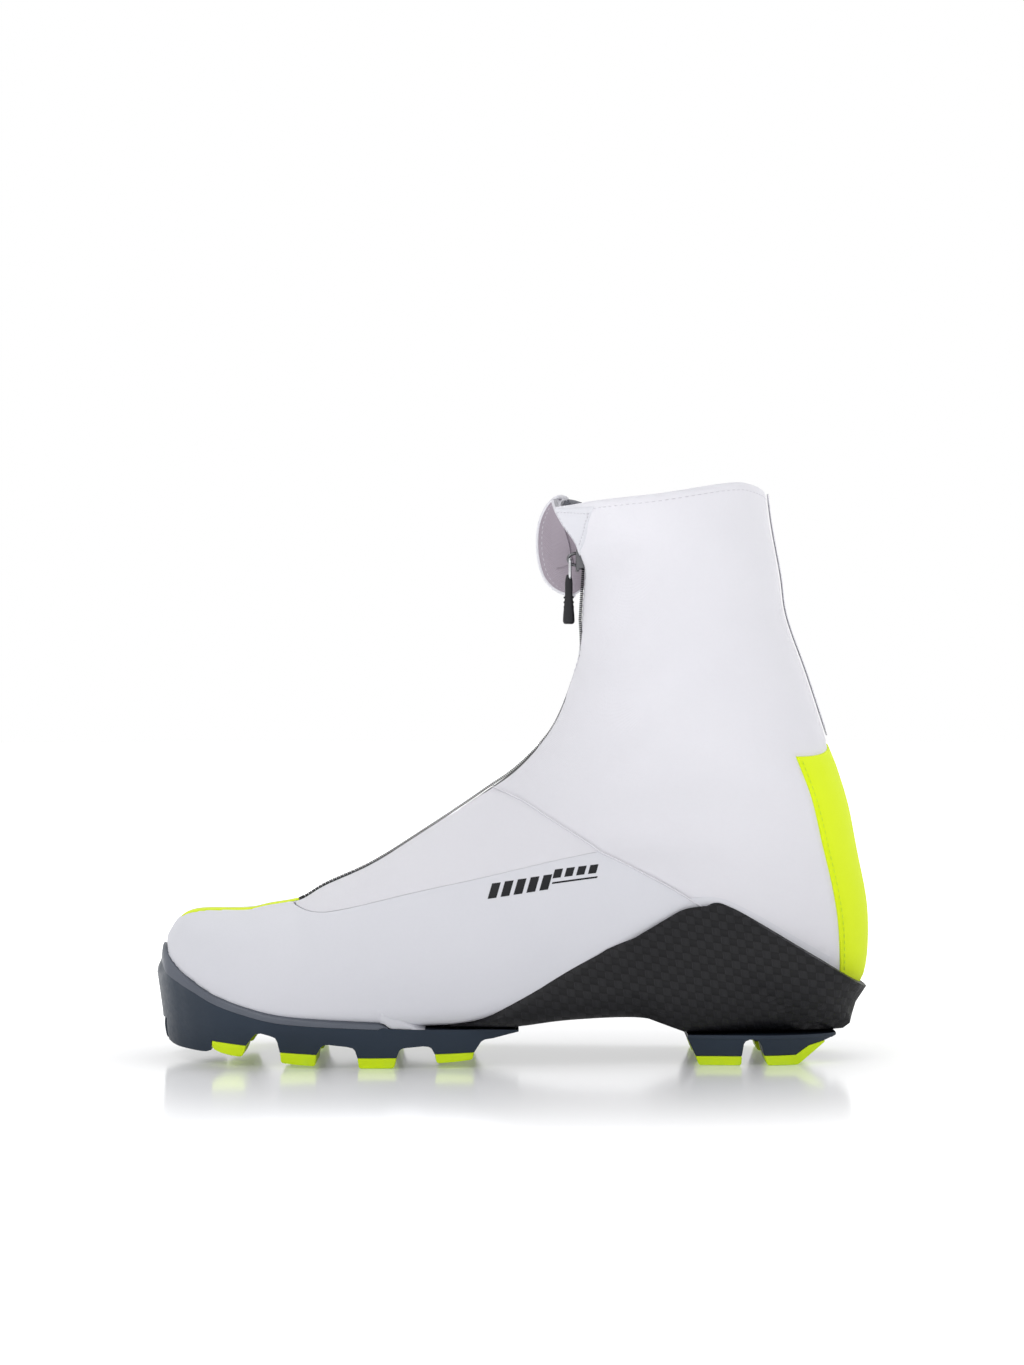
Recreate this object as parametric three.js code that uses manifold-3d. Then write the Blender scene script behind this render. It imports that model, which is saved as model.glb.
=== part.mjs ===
// Cross country ski boot, left foot, in millimetres.
// +Z is up, the toe points to -X, the lateral side is -Y and the medial side is +Y.
// The origin is on the ground, under the middle of the finished boot.
//
// Every layer of the upper is cut from one lofted last. The last is swept through section planes
// that stand upright along the forefoot, fan round the bend of the throat and lie level up the shaft.
import * as THREE from 'three';
import { mergeVertices } from 'three/addons/utils/BufferGeometryUtils.js';
import Module from 'manifold-3d';

const wasm = await Module();
wasm.setup();

// ---------- driving dimensions ----------
const bootLength = 284.8;
const bootHeight = 226.8;
const soleHeight = 15.5;
const toeHalfWidth = 46.5;
const waistHalfWidth = 42;
const heelHalfWidth = 35.5;
const ankleHalfWidth = 36.5;
const shaftHalfWidth = 39.5;
const soleHalfWidth = 46.5;
const soleWaistHalfWidth = 34;
const soleHeelHalfWidth = 36;

const coverThickness = 1.6;
const stiffenerThickness = 1.2;
const linerThickness = 3.2;
const tongueThickness = 4;
const fitGap = 0.3;
const cupThickness = 1.8;
const heelStripProud = 1;
const toeStripProud = 0.8;

const channelHalfWidth = 14;
const grooveHalfWidth = 3;
const grooveOffset = 8;
const grooveDepth = 2.6;
const barRadius = 2.2;
const barLength = 34;
const recessHalfWidth = 12;

const zipSlotHalfWidth = 8;
const toeStripHalfWidth = 3.6;
const tapeThickness = 1.2;
const chainHalfWidth = 2.3;
const chainHeight = 1.3;
const chainOpenHalfWidth = 4.5;
const sliderLength = 9;
const sliderPlate = 1.3;
const sliderWall = 1.1;
const sliderClearance = 0.7;
const bailHalfWidth = 0.9;
const bailReach = 3.7;
const bailBore = 0.95;
const linkThickness = 1.1;
const linkLength = 9.2;
const linkHalfWidth = 3.2;
const linkBar = 1.2;
const gripLength = 17;
const gripHalfWidth = 3.5;
const gripThickness = 2.6;

const flapThickness = 1.4;
const flapReach = 16.5;
const patchThickness = 0.9;
const boardThickness = 1.8;
const footbedThickness = 4.5;
const eyeletRadius = 1.6;
const eyeletCount = 5;

// ---------- places on the boot ----------
// Outlines are given as percent of the length from the middle, toe negative,
// and percent of the height from the feather line up to the collar.
const along = (percent) => (percent / 100) * bootLength;
const up = (percent) => soleHeight + (percent / 100) * (bootHeight - soleHeight);
const place = ([percentX, percentZ]) => new THREE.Vector2(along(percentX), up(percentZ));

// The crest runs from the toe over the instep and up the zip.
const crestOutline = [
  [-48.66, 12.6], [-48.4, 15], [-47.7, 16.8], [-46.6, 18.7], [-44, 20.2], [-37.2, 20.4],
  [-34.1, 21.2], [-29.7, 22.4], [-26.1, 25.2], [-19.5, 29.3], [-11.7, 35.9], [-4.5, 42.4],
  [0.8, 47.7], [5.6, 55.3], [8.6, 65.3], [9.4, 70], [9.7, 76.4], [9.95, 82.6], [10.1, 88],
  [9.6, 90.3], [8.3, 93.2], [7.1, 97], [6.3, 103],
].map(place);

// The keel runs from the toe along the feather line, round the heel and up the back.
const keelOutline = [
  [-48.66, 12.6], [-48.5, 10], [-47.6, 7], [-45.4, 4.2], [-42, 2], [-37, 0.6], [-30, 0.1], [-20, -0.1],
  [-12, 0], [-3.5, 0.6], [5.3, 1.9], [14.7, 2.8], [22.8, 1.7], [30, 0.6], [39.5, 0.4],
  [44.6, 1.6], [47.6, 4.4], [49, 8.4], [49.6, 14], [49.45, 22], [48.1, 31.5], [46.7, 41], [44.2, 51.5],
  [41.1, 64.3], [38.2, 75.4], [37.3, 83.5], [35.9, 94], [35.2, 103],
].map(place);

const pivotX = along(-25.6);
const pivotZ = up(75);
const lastTop = up(103);

// A station counts 0 at the toe, 1 below the throat centre, 2 level with it and 3 at the last's top.
function stationOf(point) {
  const toeX = crestOutline[0].x;
  if (point.x <= pivotX) {
    return (point.x - toeX) / (pivotX - toeX);
  }
  if (point.y < pivotZ) {
    return 1 + Math.atan2(point.x - pivotX, pivotZ - point.y) / (Math.PI / 2);
  }
  return 2 + (point.y - pivotZ) / (lastTop - pivotZ);
}

function profileByStation(outline) {
  const points = new THREE.SplineCurve(outline).getPoints(outline.length * 12);
  const stations = points.map(stationOf);
  return (station) => {
    let next = stations.findIndex((value) => value > station);
    if (next < 1) {
      next = next === 0 ? 1 : stations.length - 1;
    }
    const span = stations[next] - stations[next - 1];
    const share = THREE.MathUtils.clamp((station - stations[next - 1]) / span, 0, 1);
    return points[next - 1].clone().lerp(points[next], share);
  };
}
const crestAt = profileByStation(crestOutline);
const keelAt = profileByStation(keelOutline);

// Reads a smooth curve through rows of [station, value].
function smoothRows(rows) {
  const curve = new THREE.SplineCurve(rows.map(([station, value]) => new THREE.Vector2(station,
    value)));
  const points = curve.getPoints(rows.length * 16);
  return (station) => {
    const next = points.findIndex((point) => point.x > station);
    if (next < 1) {
      return next === 0 ? points[0].y : points[points.length - 1].y;
    }
    const share = (station - points[next - 1].x) / (points[next].x - points[next - 1].x);
    return THREE.MathUtils.lerp(points[next - 1].y, points[next].y, share);
  };
}
const halfWidthBehindBall = smoothRows([
  [1, toeHalfWidth], [1.17, toeHalfWidth], [1.36, waistHalfWidth], [1.5, heelHalfWidth + 1.5],
  [1.62, heelHalfWidth], [1.76, ankleHalfWidth], [2, shaftHalfWidth], [3, shaftHalfWidth + 1],
]);
const widestShare = smoothRows([[0, 0.6], [0.5, 0.72], [1, 0.76], [1.35, 0.72], [1.6, 0.56], [2, 0.5],
  [3, 0.5]]);
const crestRoundness = smoothRows([[0, 2.2], [0.5, 2.3], [1, 2.1], [1.4, 1.9], [2, 2], [3, 2]]);
const keelRoundness = smoothRows([[0, 2.2], [0.3, 3.4], [1, 4.6], [1.4, 4.6], [1.55, 3.2], [1.7, 2.3],
  [3, 2.1]]);
const centreLine = smoothRows([[0, 5], [0.6, 3], [1, 1], [1.3, -1.5], [1.6, 0], [3, 0]]);
const toeBluntness = 2.4;

function halfWidthAt(station) {
  if (station >= 1) {
    return halfWidthBehindBall(station);
  }
  return toeHalfWidth * Math.sqrt(1 - (1 - station) ** toeBluntness);
}

// Section of the last at a station, grown outwards by offset.
function section(station, offset) {
  const crest = crestAt(station);
  const keel = keelAt(station);
  const tipShare = Math.min(1, station / 0.35);
  const growth = offset * Math.sqrt(1 - (1 - tipShare) ** 2);
  if (station <= 1) {
    const x = crest.x - offset * (1 - station);
    crest.set(x, crest.y + growth);
    keel.set(x, keel.y - growth);
  } else {
    const ray = station < 2
      ? new THREE.Vector2(crest.x - pivotX, crest.y - pivotZ).normalize()
      : new THREE.Vector2(1, 0);
    const step = 0.01;
    const tangent = keelAt(station + step).sub(keelAt(station - step)).normalize();
    const facing = Math.max(0.55, Math.abs(tangent.x * ray.y - tangent.y * ray.x));
    crest.addScaledVector(ray, -offset);
    keel.addScaledVector(ray, offset / facing);
  }
  return { crest, keel, halfWidth: halfWidthAt(station) + growth, station };
}

// Point on a section: turn 0 is on the crest, pi on the keel, negative turns on the lateral side.
function sectionPoint({ crest, keel, halfWidth, station }, turn) {
  const cos = Math.cos(turn);
  const sin = Math.sin(turn);
  const power = 2 / (cos > 0 ? crestRoundness(station) : keelRoundness(station));
  const widest = widestShare(station);
  const reach = Math.abs(cos) ** power;
  const share = cos > 0 ? widest * (1 - reach) : widest + (1 - widest) * reach;
  const middle = crest.clone().lerp(keel, share);
  const y = centreLine(station) + Math.sign(sin) * halfWidth * Math.abs(sin) ** power;
  return [middle.x, y, middle.y];
}

// ---------- solids ----------
function solidFromGeometry(geometry) {
  const bare = geometry.clone();
  bare.deleteAttribute('normal');
  bare.deleteAttribute('uv');
  const merged = mergeVertices(bare, 1e-4);
  return new wasm.Manifold(new wasm.Mesh({
    numProp: 3,
    vertProperties: new Float32Array(merged.attributes.position.array),
    triVerts: new Uint32Array(merged.index.array),
  }));
}

function geometryFromRings(rings, startPoint, endPoint) {
  const count = rings[0].length;
  const positions = [...rings.flat(2), ...startPoint, ...endPoint];
  const start = rings.length * count;
  const index = [];
  for (let i = 0; i < count; i += 1) {
    const j = (i + 1) % count;
    index.push(start, j, i);
    for (let ring = 0; ring < rings.length - 1; ring += 1) {
      const a = ring * count;
      const b = a + count;
      index.push(a + i, a + j, b + j, a + i, b + j, b + i);
    }
    const last = (rings.length - 1) * count;
    index.push(start + 1, last + i, last + j);
  }
  const geometry = new THREE.BufferGeometry();
  geometry.setAttribute('position', new THREE.Float32BufferAttribute(positions, 3));
  geometry.setIndex(index);
  return geometry;
}

const roundPoints = 24;
const toeStations = [0.012, 0.045, 0.1, 0.18, 0.3, 0.45, 0.62, 0.8];
const throatStations = Array.from({ length: 17 }, (_, i) => 1 + i / 16);
const shaftStations = [2.3, 2.52, 2.7, 2.82, 3];

const lastCache = new Map();
function lastSolid(offset) {
  if (!lastCache.has(offset)) {
    const stations = [...toeStations, ...throatStations, ...shaftStations];
    const rings = stations.map((station) => {
      const cut = section(station, offset);
      return Array.from({ length: roundPoints },
        (_, i) => sectionPoint(cut, (-i / roundPoints) * 2 * Math.PI));
    });
    const toe = section(0, offset).crest;
    const top = section(3, offset);
    const topMiddle = [(top.crest.x + top.keel.x) / 2, 0, lastTop];
    const geometry = geometryFromRings(rings, [toe.x, centreLine(0), toe.y], topMiddle);
    lastCache.set(offset, solidFromGeometry(geometry));
  }
  return lastCache.get(offset);
}

const shell = (outside, inside) => lastSolid(outside).subtract(lastSolid(inside));

// Prism across the boot over an outline in the side view.
function sideRegion(outline, lowY = -90, highY = 90) {
  const shape = new THREE.Shape(outline.map((point) => new THREE.Vector2(point.x, point.y)));
  const geometry = new THREE.ExtrudeGeometry(shape, { depth: highY - lowY, bevelEnabled: false });
  geometry.rotateX(Math.PI / 2);
  geometry.translate(0, highY, 0);
  return solidFromGeometry(geometry);
}

function block(low, high) {
  const size = low.map((value, i) => high[i] - value);
  const geometry = new THREE.BoxGeometry(...size);
  geometry.translate(...low.map((value, i) => value + size[i] / 2));
  return solidFromGeometry(geometry);
}

function crossRod(x, z, radius, halfLength, sides = 12) {
  const geometry = new THREE.CylinderGeometry(radius, radius, 2 * halfLength, sides);
  geometry.translate(x, 0, z);
  return solidFromGeometry(geometry);
}

// The main body left after the cuts.
function mainBody(solid) {
  const bodies = solid.decompose();
  return bodies.reduce((best, body) => (body.volume() > best.volume() ? body : best));
}

function unite(solids) {
  return solids.reduce((sum, solid) => sum.add(solid));
}

const smooth = (points, steps) => new THREE.SplineCurve(points).getPoints(steps);

// Shifts an open line in the side view to its left by a distance.
function shiftLine(points, distance) {
  return points.map((point, i) => {
    const before = points[Math.max(0, i - 1)];
    const after = points[Math.min(points.length - 1, i + 1)];
    const direction = after.clone().sub(before).normalize();
    return new THREE.Vector2(point.x - direction.y * distance, point.y + direction.x * distance);
  });
}

const corner = (x, z) => new THREE.Vector2(x, z);
const far = 400;
const lateralSide = block([-far, -far, -far], [far, -fitGap / 2, far]);
const medialSide = block([-far, fitGap / 2, -far], [far, far, far]);
const sides = { lateral: lateralSide, medial: medialSide };

// ---------- seams of the cover ----------
const collarLine = smooth([[1, 95], [6.7, 96], [10.5, 96.7], [20, 97.8], [29.5, 99.9], [32.7, 100],
  [38, 98.4]].map(place), 14);
const overlaySeam = smooth([[-31.5, 22.4], [-25.6, 21], [-13.1, 24.8], [-3.1, 27.7], [6.1, 30.5],
  [11.9, 32.1]].map(place), 12);
const gaiterSeam = smooth([[-5.6, 45], [0.8, 41.7], [5.4, 37.8], [10.1, 33.9], [11.9, 32.1],
  [16.1, 29.4], [23.6, 23.9]].map(place), 12);
const gaiterLow = place([29, 18]);
const strapEdge = smooth([[38.9, 49.5], [41.2, 41.4], [42.9, 32.1], [44.1, 25.2], [44.9, 18.8],
  [45, 10]].map(place), 12);
const stripTop = [place([38.9, 49.5]), place([44.3, 51.6]), place([60, 55])];

const belowCollar = sideRegion([corner(-far, -far), corner(far, -far), corner(far, up(98.2)),
  ...collarLine.slice().reverse(), corner(-far, up(94))]);
const insideCollar = sideRegion([corner(-far, -far), corner(far, -far), corner(far, up(96.4)),
  ...collarLine.slice().reverse().map((point) => corner(point.x, point.y - 4)), corner(-far, up(92))]);

// The seams run on past the last, so that each panel's region is closed outside it.
const overlayLine = [place([-60, 22.4]), ...overlaySeam];
const lowerGaiter = [place([11.9, 32.1]), place([16.1, 29.4]), place([23.6, 23.9]), gaiterLow,
  place([34, 2]), corner(along(34), -far)];
const upperGaiter = [corner(along(-16), up(62)), place([-5.6, 45]), ...gaiterSeam.slice(1)];
const stripLine = [...stripTop.slice().reverse(), ...strapEdge.slice(1), corner(along(45), -far)];

function regionUnderVamp() {
  const top = shiftLine([...overlayLine, ...lowerGaiter.slice(1)], -fitGap / 2);
  return sideRegion([corner(-far, -far), ...top.slice().reverse(), corner(-far, up(22.4))]);
}

function regionOfShaft() {
  const front = shiftLine([...upperGaiter, gaiterLow, place([34, 2]), corner(along(34), -far)],
    fitGap / 2);
  const back = shiftLine(stripLine, -fitGap / 2);
  return sideRegion([...front, ...back.slice().reverse(), corner(far, up(60)), corner(far, far),
    corner(along(-16), far)]);
}

function regionOfInstep() {
  const low = shiftLine(overlayLine, fitGap / 2);
  const back = shiftLine(upperGaiter.slice(0, 9), -fitGap / 2);
  return sideRegion([...low, ...back.slice().reverse(), corner(-far, up(62))]);
}

const heelStripRegion = sideRegion([...shiftLine(stripLine, fitGap / 2), corner(far, -far),
  corner(far, up(55))]);

// The band in the side view that holds the crest from one station to another.
function crestBand(from, to, depth) {
  const steps = 16;
  const outer = [];
  const inner = [];
  for (let i = 0; i <= steps; i += 1) {
    const station = from + ((to - from) * i) / steps;
    outer.push(section(station, 12).crest);
    inner.push(section(station, -depth).crest);
  }
  return sideRegion([...outer.reverse(), ...inner]);
}
const zipStart = stationOf(place([-29.7, 22.4]));
const zipEnd = 2.99;
const slotDepth = 8;
const across = (halfWidth) => block([-far, -halfWidth, -far], [far, halfWidth, far]);
const zipSlot = crestBand(zipStart, 3, slotDepth).intersect(across(zipSlotHalfWidth + fitGap));
const toeSlot = crestBand(0.002, zipStart + 0.01,
  slotDepth).intersect(across(toeStripHalfWidth + fitGap));

const cover = shell(0, -coverThickness).intersect(belowCollar);
const coverSkin = cover.subtract(zipSlot).subtract(toeSlot);

const vampRegion = regionUnderVamp();
const instepRegion = regionOfInstep();
const shaftRegion = regionOfShaft();
const coverPanel = (region, side) => mainBody(coverSkin.intersect(region).intersect(sides[side]));

const toeStrip = () => mainBody(
  shell(toeStripProud, -coverThickness)
    .intersect(crestBand(0.03, zipStart - 0.012, slotDepth - 1))
    .intersect(across(toeStripHalfWidth)));

// ---------- zip ----------
const sliderTop = up(88.4);
const sliderBottom = sliderTop - sliderLength;
const zipClosedTo = sliderTop + 0.4;
const tapeRegion = crestBand(zipStart + 0.012, zipEnd, slotDepth - 1);
const openWedge = () => {
  const shape = new THREE.Shape([corner(-fitGap / 2, zipClosedTo), corner(fitGap / 2, zipClosedTo),
    corner(chainOpenHalfWidth, lastTop), corner(-chainOpenHalfWidth, lastTop)]);
  const geometry = new THREE.ExtrudeGeometry(shape, { depth: 2 * far, bevelEnabled: false });
  geometry.rotateX(Math.PI / 2);
  geometry.rotateZ(Math.PI / 2);
  geometry.translate(-far, 0, 0);
  return solidFromGeometry(geometry);
};
const zipTape = (side) => mainBody(
  shell(-0.4, -0.4 - tapeThickness)
    .intersect(tapeRegion)
    .intersect(across(zipSlotHalfWidth))
    .intersect(sides[side])
    .intersect(belowCollar)
    .subtract(openWedge()));

const chainBand = crestBand(zipStart + 0.03, zipEnd, slotDepth);
const zipChain = () => mainBody(
  shell(chainHeight, -0.1)
    .intersect(chainBand)
    .intersect(across(chainHalfWidth))
    .intersect(block([-far, -far, -far], [far, far, sliderTop - 0.6])));

const bottomStop = () => mainBody(
  shell(chainHeight + 0.4, -0.1)
    .intersect(crestBand(zipStart + 0.008, zipStart + 0.026, slotDepth))
    .intersect(across(chainHalfWidth + 2)));

const crestXAt = (z) => crestAt(stationOf(new THREE.Vector2(along(9.9), z))).x;
const sliderCrestX = crestXAt((sliderTop + sliderBottom) / 2);
const plateInner = sliderCrestX - chainHeight - sliderClearance;
const plateOuter = plateInner - sliderPlate;
const bailZ = sliderTop - 4;
const bailX = plateOuter - bailReach + 1.4;

function zipSlider() {
  const flangeFrom = chainHalfWidth + sliderClearance;
  const flangeTo = flangeFrom + sliderWall;
  const plate = block([plateOuter, -flangeTo, sliderBottom], [plateInner, flangeTo, sliderTop]);
  const flange = (lowY, highY) => block([plateOuter, lowY, sliderBottom + 0.8],
    [sliderCrestX - 0.1, highY, sliderTop - 0.8]);
  const bail = block([plateOuter - bailReach, -bailHalfWidth, bailZ - 2],
    [plateOuter + 0.2, bailHalfWidth, bailZ + 2]);
  return unite([plate, flange(-flangeTo, -flangeFrom), flange(flangeFrom, flangeTo), bail])
    .subtract(crossRod(bailX, bailZ, bailBore, bailHalfWidth + 1));
}

// A flat piece that hangs in the plane across the boot, cut from an outline in Y and Z.
function hangingPlate(outline, holes, thickness) {
  const shape = new THREE.Shape(outline);
  holes.forEach((hole) => shape.holes.push(new THREE.Path(hole)));
  const geometry = new THREE.ExtrudeGeometry(shape, { depth: thickness, bevelEnabled: false });
  geometry.rotateX(Math.PI / 2);
  geometry.rotateZ(Math.PI / 2);
  geometry.translate(bailX - thickness / 2, 0, 0);
  return solidFromGeometry(geometry);
}

const rectangle = (halfWidth, low, high) => [
  corner(-halfWidth, low), corner(halfWidth, low), corner(halfWidth, high), corner(-halfWidth, high)];

const linkTop = bailZ + linkBar / 2;
const linkBottom = linkTop - linkLength;
const pullLink = () => hangingPlate(
  rectangle(linkHalfWidth, linkBottom, linkTop),
  [rectangle(linkHalfWidth - linkBar, linkBottom + linkBar, linkTop - linkBar)],
  linkThickness);

function pullGrip() {
  const neckHalfWidth = linkHalfWidth - linkBar - fitGap;
  const shoulder = linkBottom - fitGap;
  const foot = shoulder - gripLength;
  const bevel = 1.4;
  const outline = [
    corner(-gripHalfWidth + bevel, foot), corner(gripHalfWidth - bevel, foot),
    corner(gripHalfWidth, foot + bevel),
    corner(gripHalfWidth, shoulder - bevel), corner(gripHalfWidth - bevel, shoulder),
    corner(neckHalfWidth, shoulder),
    corner(neckHalfWidth, linkBottom + 2.4), corner(-neckHalfWidth, linkBottom + 2.4),
    corner(-neckHalfWidth, shoulder),
    corner(-gripHalfWidth + bevel, shoulder), corner(-gripHalfWidth, shoulder - bevel),
    corner(-gripHalfWidth, foot + bevel),
  ];
  return hangingPlate(outline, [], gripThickness)
    .subtract(crossRod(bailX, linkBottom + linkBar / 2, bailBore, neckHalfWidth + 1));
}

// ---------- collar flap ----------
// The flap is a D of fabric that turns about the line from its foot to its head.
const flapFoot = new THREE.Vector3(crestXAt(up(80.5)) - 1.6, 12.5, up(80.5));
const flapHead = new THREE.Vector3(crestXAt(up(98)) - 1.2, 13.5, up(98));
const flapAxis = flapHead.clone().sub(flapFoot).normalize();
const flapForward = new THREE.Vector3(-0.72, 0.69, 0);
const flapNormal = new THREE.Vector3().crossVectors(flapForward, flapAxis).normalize();
const flapOutward = new THREE.Vector3().crossVectors(flapAxis, flapNormal).normalize();
const flapHeight = flapHead.distanceTo(flapFoot);

function flapPlate(inset, lift, thickness) {
  const high = flapHeight - inset;
  const reach = flapReach - inset;
  const shape = new THREE.Shape();
  shape.moveTo(inset, inset);
  shape.lineTo(reach * 0.45, inset);
  shape.quadraticCurveTo(reach, flapHeight * 0.12, reach, flapHeight * 0.45);
  shape.quadraticCurveTo(reach, high, reach * 0.4, high);
  shape.lineTo(inset, high);
  const geometry = new THREE.ExtrudeGeometry(shape,
    { depth: thickness, bevelEnabled: false, curveSegments: 6 });
  geometry.translate(0, 0, lift);
  geometry.applyMatrix4(new THREE.Matrix4().makeBasis(flapOutward, flapAxis,
    flapOutward.clone().cross(flapAxis)));
  geometry.translate(flapFoot.x, flapFoot.y, flapFoot.z);
  return solidFromGeometry(geometry);
}
const collarFlap = () => flapPlate(0, -flapThickness / 2, flapThickness);
const hookPatch = () => flapPlate(2.6, flapThickness / 2 + fitGap, patchThickness);

// The stitched corner on the lateral side of the collar.
const cornerPatchRegion = sideRegion([[7, 99], [7.6, 91], [10.9, 86], [14.5, 93],
  [14.5, 99]].map(place), -60, -zipSlotHalfWidth - 1);
const insideTop = sideRegion([corner(-far, -far), corner(far, -far), ...collarLine.slice().reverse()
  .map((point) => corner(point.x, point.y - 1)), corner(-far, up(93))]);
const cornerPatch = () => mainBody(
  shell(fitGap + patchThickness, fitGap).intersect(cornerPatchRegion).intersect(insideTop));

// ---------- inside ----------
const stiffenerOut = -coverThickness - fitGap;
const stiffenerIn = stiffenerOut - stiffenerThickness;
const linerOut = stiffenerIn - fitGap;
const linerIn = linerOut - linerThickness;
const tongueOut = linerIn - fitGap;

const throatFrom = stationOf(place([-18, 30]));
const throatSlot = crestBand(throatFrom, 3, 24).intersect(across(12));
const liner = () => mainBody(shell(linerOut, linerIn).intersect(insideCollar).subtract(throatSlot));
const tongue = () => mainBody(
  shell(tongueOut, tongueOut - tongueThickness)
    .intersect(crestBand(throatFrom - 0.06, 2.93, 30))
    .intersect(across(20))
    .intersect(insideCollar));
const toePuff = () => mainBody(
  shell(stiffenerOut, stiffenerIn)
    .intersect(sideRegion([corner(-far, up(6)), corner(along(-36), up(6)), corner(along(-31), up(30)),
      corner(-far, up(30))])));
const heelCounter = () => mainBody(
  shell(stiffenerOut, stiffenerIn)
    .intersect(sideRegion([[26, 4], [60, 4], [60, 33], [38, 33], [27, 22]].map(place))));

function laceFacing(side) {
  const sign = side === 'lateral' ? -1 : 1;
  const band = crestBand(throatFrom + 0.04, 1.86, 26);
  const strip = block([-far, Math.min(sign * 13, sign * 24), -far],
    [far, Math.max(sign * 13, sign * 24), far]);
  let facing = shell(stiffenerOut, stiffenerIn).intersect(band).intersect(strip);
  for (let i = 0; i < eyeletCount; i += 1) {
    const station = throatFrom + 0.12 + ((1.8 - throatFrom - 0.16) * i) / (eyeletCount - 1);
    const crest = crestAt(station);
    const ray = new THREE.Vector3(crest.x - pivotX, 0, crest.y - pivotZ).normalize();
    const punch = new THREE.CylinderGeometry(eyeletRadius, eyeletRadius, 60, 8);
    punch.applyQuaternion(new THREE.Quaternion().setFromUnitVectors(new THREE.Vector3(0, 1, 0), ray));
    punch.translate(crest.x, sign * 17.5, crest.y);
    facing = facing.subtract(solidFromGeometry(punch));
  }
  return mainBody(facing);
}

// The line that runs a height above the keel under the whole foot.
function floorLine(height) {
  const steps = 18;
  const line = [];
  for (let i = 0; i <= steps; i += 1) {
    const keel = keelAt(0.12 + (1.42 * i) / steps);
    line.push(corner(keel.x, keel.y + height));
  }
  return [corner(-far, line[0].y), ...line, corner(far, line.at(-1).y)];
}
const boardTop = boardThickness - tongueOut;
const footbedBottom = boardTop + fitGap;
const insoleBoard = () => mainBody(lastSolid(tongueOut)
  .intersect(sideRegion([corner(far, -far), corner(-far, -far), ...floorLine(boardTop)])));
const footbed = () => mainBody(lastSolid(tongueOut)
  .intersect(sideRegion([...floorLine(footbedBottom),
    ...floorLine(footbedBottom + footbedThickness).reverse()])));

// ---------- sole ----------
// The sole block is drawn by its plan at the height of the toe bumper and tapers towards the ground.
const soleToeX = along(-49.93);
const soleHeelX = along(48.6);
const solePlan = [
  [soleToeX, 5], [along(-49), -9], [along(-46.5), -22], [along(-41.5), -33],
  [along(-32), -soleHalfWidth + 3.4],
  [along(-22), -soleHalfWidth], [along(-8), -soleHalfWidth + 2], [along(4), -soleWaistHalfWidth - 2],
  [along(14), -soleWaistHalfWidth], [along(26), -soleHeelHalfWidth], [along(38), -soleHeelHalfWidth],
  [along(45.6), -soleHeelHalfWidth * 0.68], [soleHeelX, 0], [along(45.6), soleHeelHalfWidth * 0.68],
  [along(38), soleHeelHalfWidth], [along(26), soleHeelHalfWidth], [along(14), soleWaistHalfWidth - 1],
  [along(4), soleWaistHalfWidth + 1], [along(-8), soleHalfWidth - 2.5], [along(-22), soleHalfWidth + 1],
  [along(-32), soleHalfWidth - 0.5], [along(-41.5), 37.5], [along(-46.5), 28], [along(-49), 17],
].map(([x, y]) => new THREE.Vector3(x, y, 0));
const taperLevels = [[-2, -6.2], [7, -4.6], [18, -2.4], [34, 0], [40, -0.4], [48, -3]];

function soleBlock() {
  const curve = new THREE.CatmullRomCurve3(solePlan, true);
  const count = 60;
  const rings = taperLevels.map(([z, inset]) => Array.from({ length: count }, (_, i) => {
    const at = i / count;
    const point = curve.getPoint(at);
    const tangent = curve.getTangent(at);
    return [point.x + tangent.y * inset, point.y - tangent.x * inset, z];
  }));
  const geometry = geometryFromRings(rings, [0, 0, taperLevels[0][0]], [0, 0, taperLevels.at(-1)[0]]);
  return solidFromGeometry(geometry);
}
const sole = soleBlock();
const aroundLast = lastSolid(fitGap);

const spot = (percent, z) => corner(along(percent), z);

// Each lug in the side view: ground line from front to back, the tread's top line, and the lug's root.
const ballLugs = [
  { ground: [[-40.7, 4.4], [-36.5, 3]], tread: [[-41.6, 9], [-35.9, 7.2]],
  root: [[-42.5, 16], [-34.6, 16]] },
  { ground: [[-31.5, 1.7], [-26.9, 0.7]], tread: [[-31.9, 6], [-26.3, 5.4]],
  root: [[-32.6, 14], [-24.9, 14]] },
  { ground: [[-20.9, 0], [-16.1, 0]], tread: [[-21.1, 4.5], [-15.7, 4.4]],
  root: [[-21.8, 12], [-14.5, 12]] },
  { ground: [[-10.3, 2], [-5.5, 3]], tread: [[-10.6, 5.9], [-5.1, 6.4]],
  root: [[-11.3, 12], [-3.6, 12]] },
];
const heelLugs = [
  { ground: [[25.7, 0], [31.3, 0]], tread: [[25.2, 3.9], [31.6, 3.9]],
  root: [[23.9, 11.4], [31.9, 11.4]] },
  { ground: [[34.9, 0], [38.6, 0]], tread: [[34.6, 3.9], [38.6, 4.1]],
  root: [[33.8, 11.4], [44.7, 11.4]],
    bevel: [[43.6, 8.4], [42.9, 10]] },
];

const treadOutline = ({ ground, tread, bevel = [] }) => [
  ...ground, ...(bevel.length ? [bevel[0], bevel[1]] : []), tread[1],
    tread[0]].map(([x, z]) => spot(x, z));
const lugOutline = ({ tread, root, bevel = [] }) => {
  const gap = fitGap;
  const foot = bevel.length ? [[bevel[1][0], bevel[1][1] + gap]] : [];
  return [[tread[0][0], tread[0][1] + gap], [tread[1][0], tread[1][1] + gap], ...foot, root[1], root[0]]
    .map(([x, z]) => spot(x, z));
};

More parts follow.
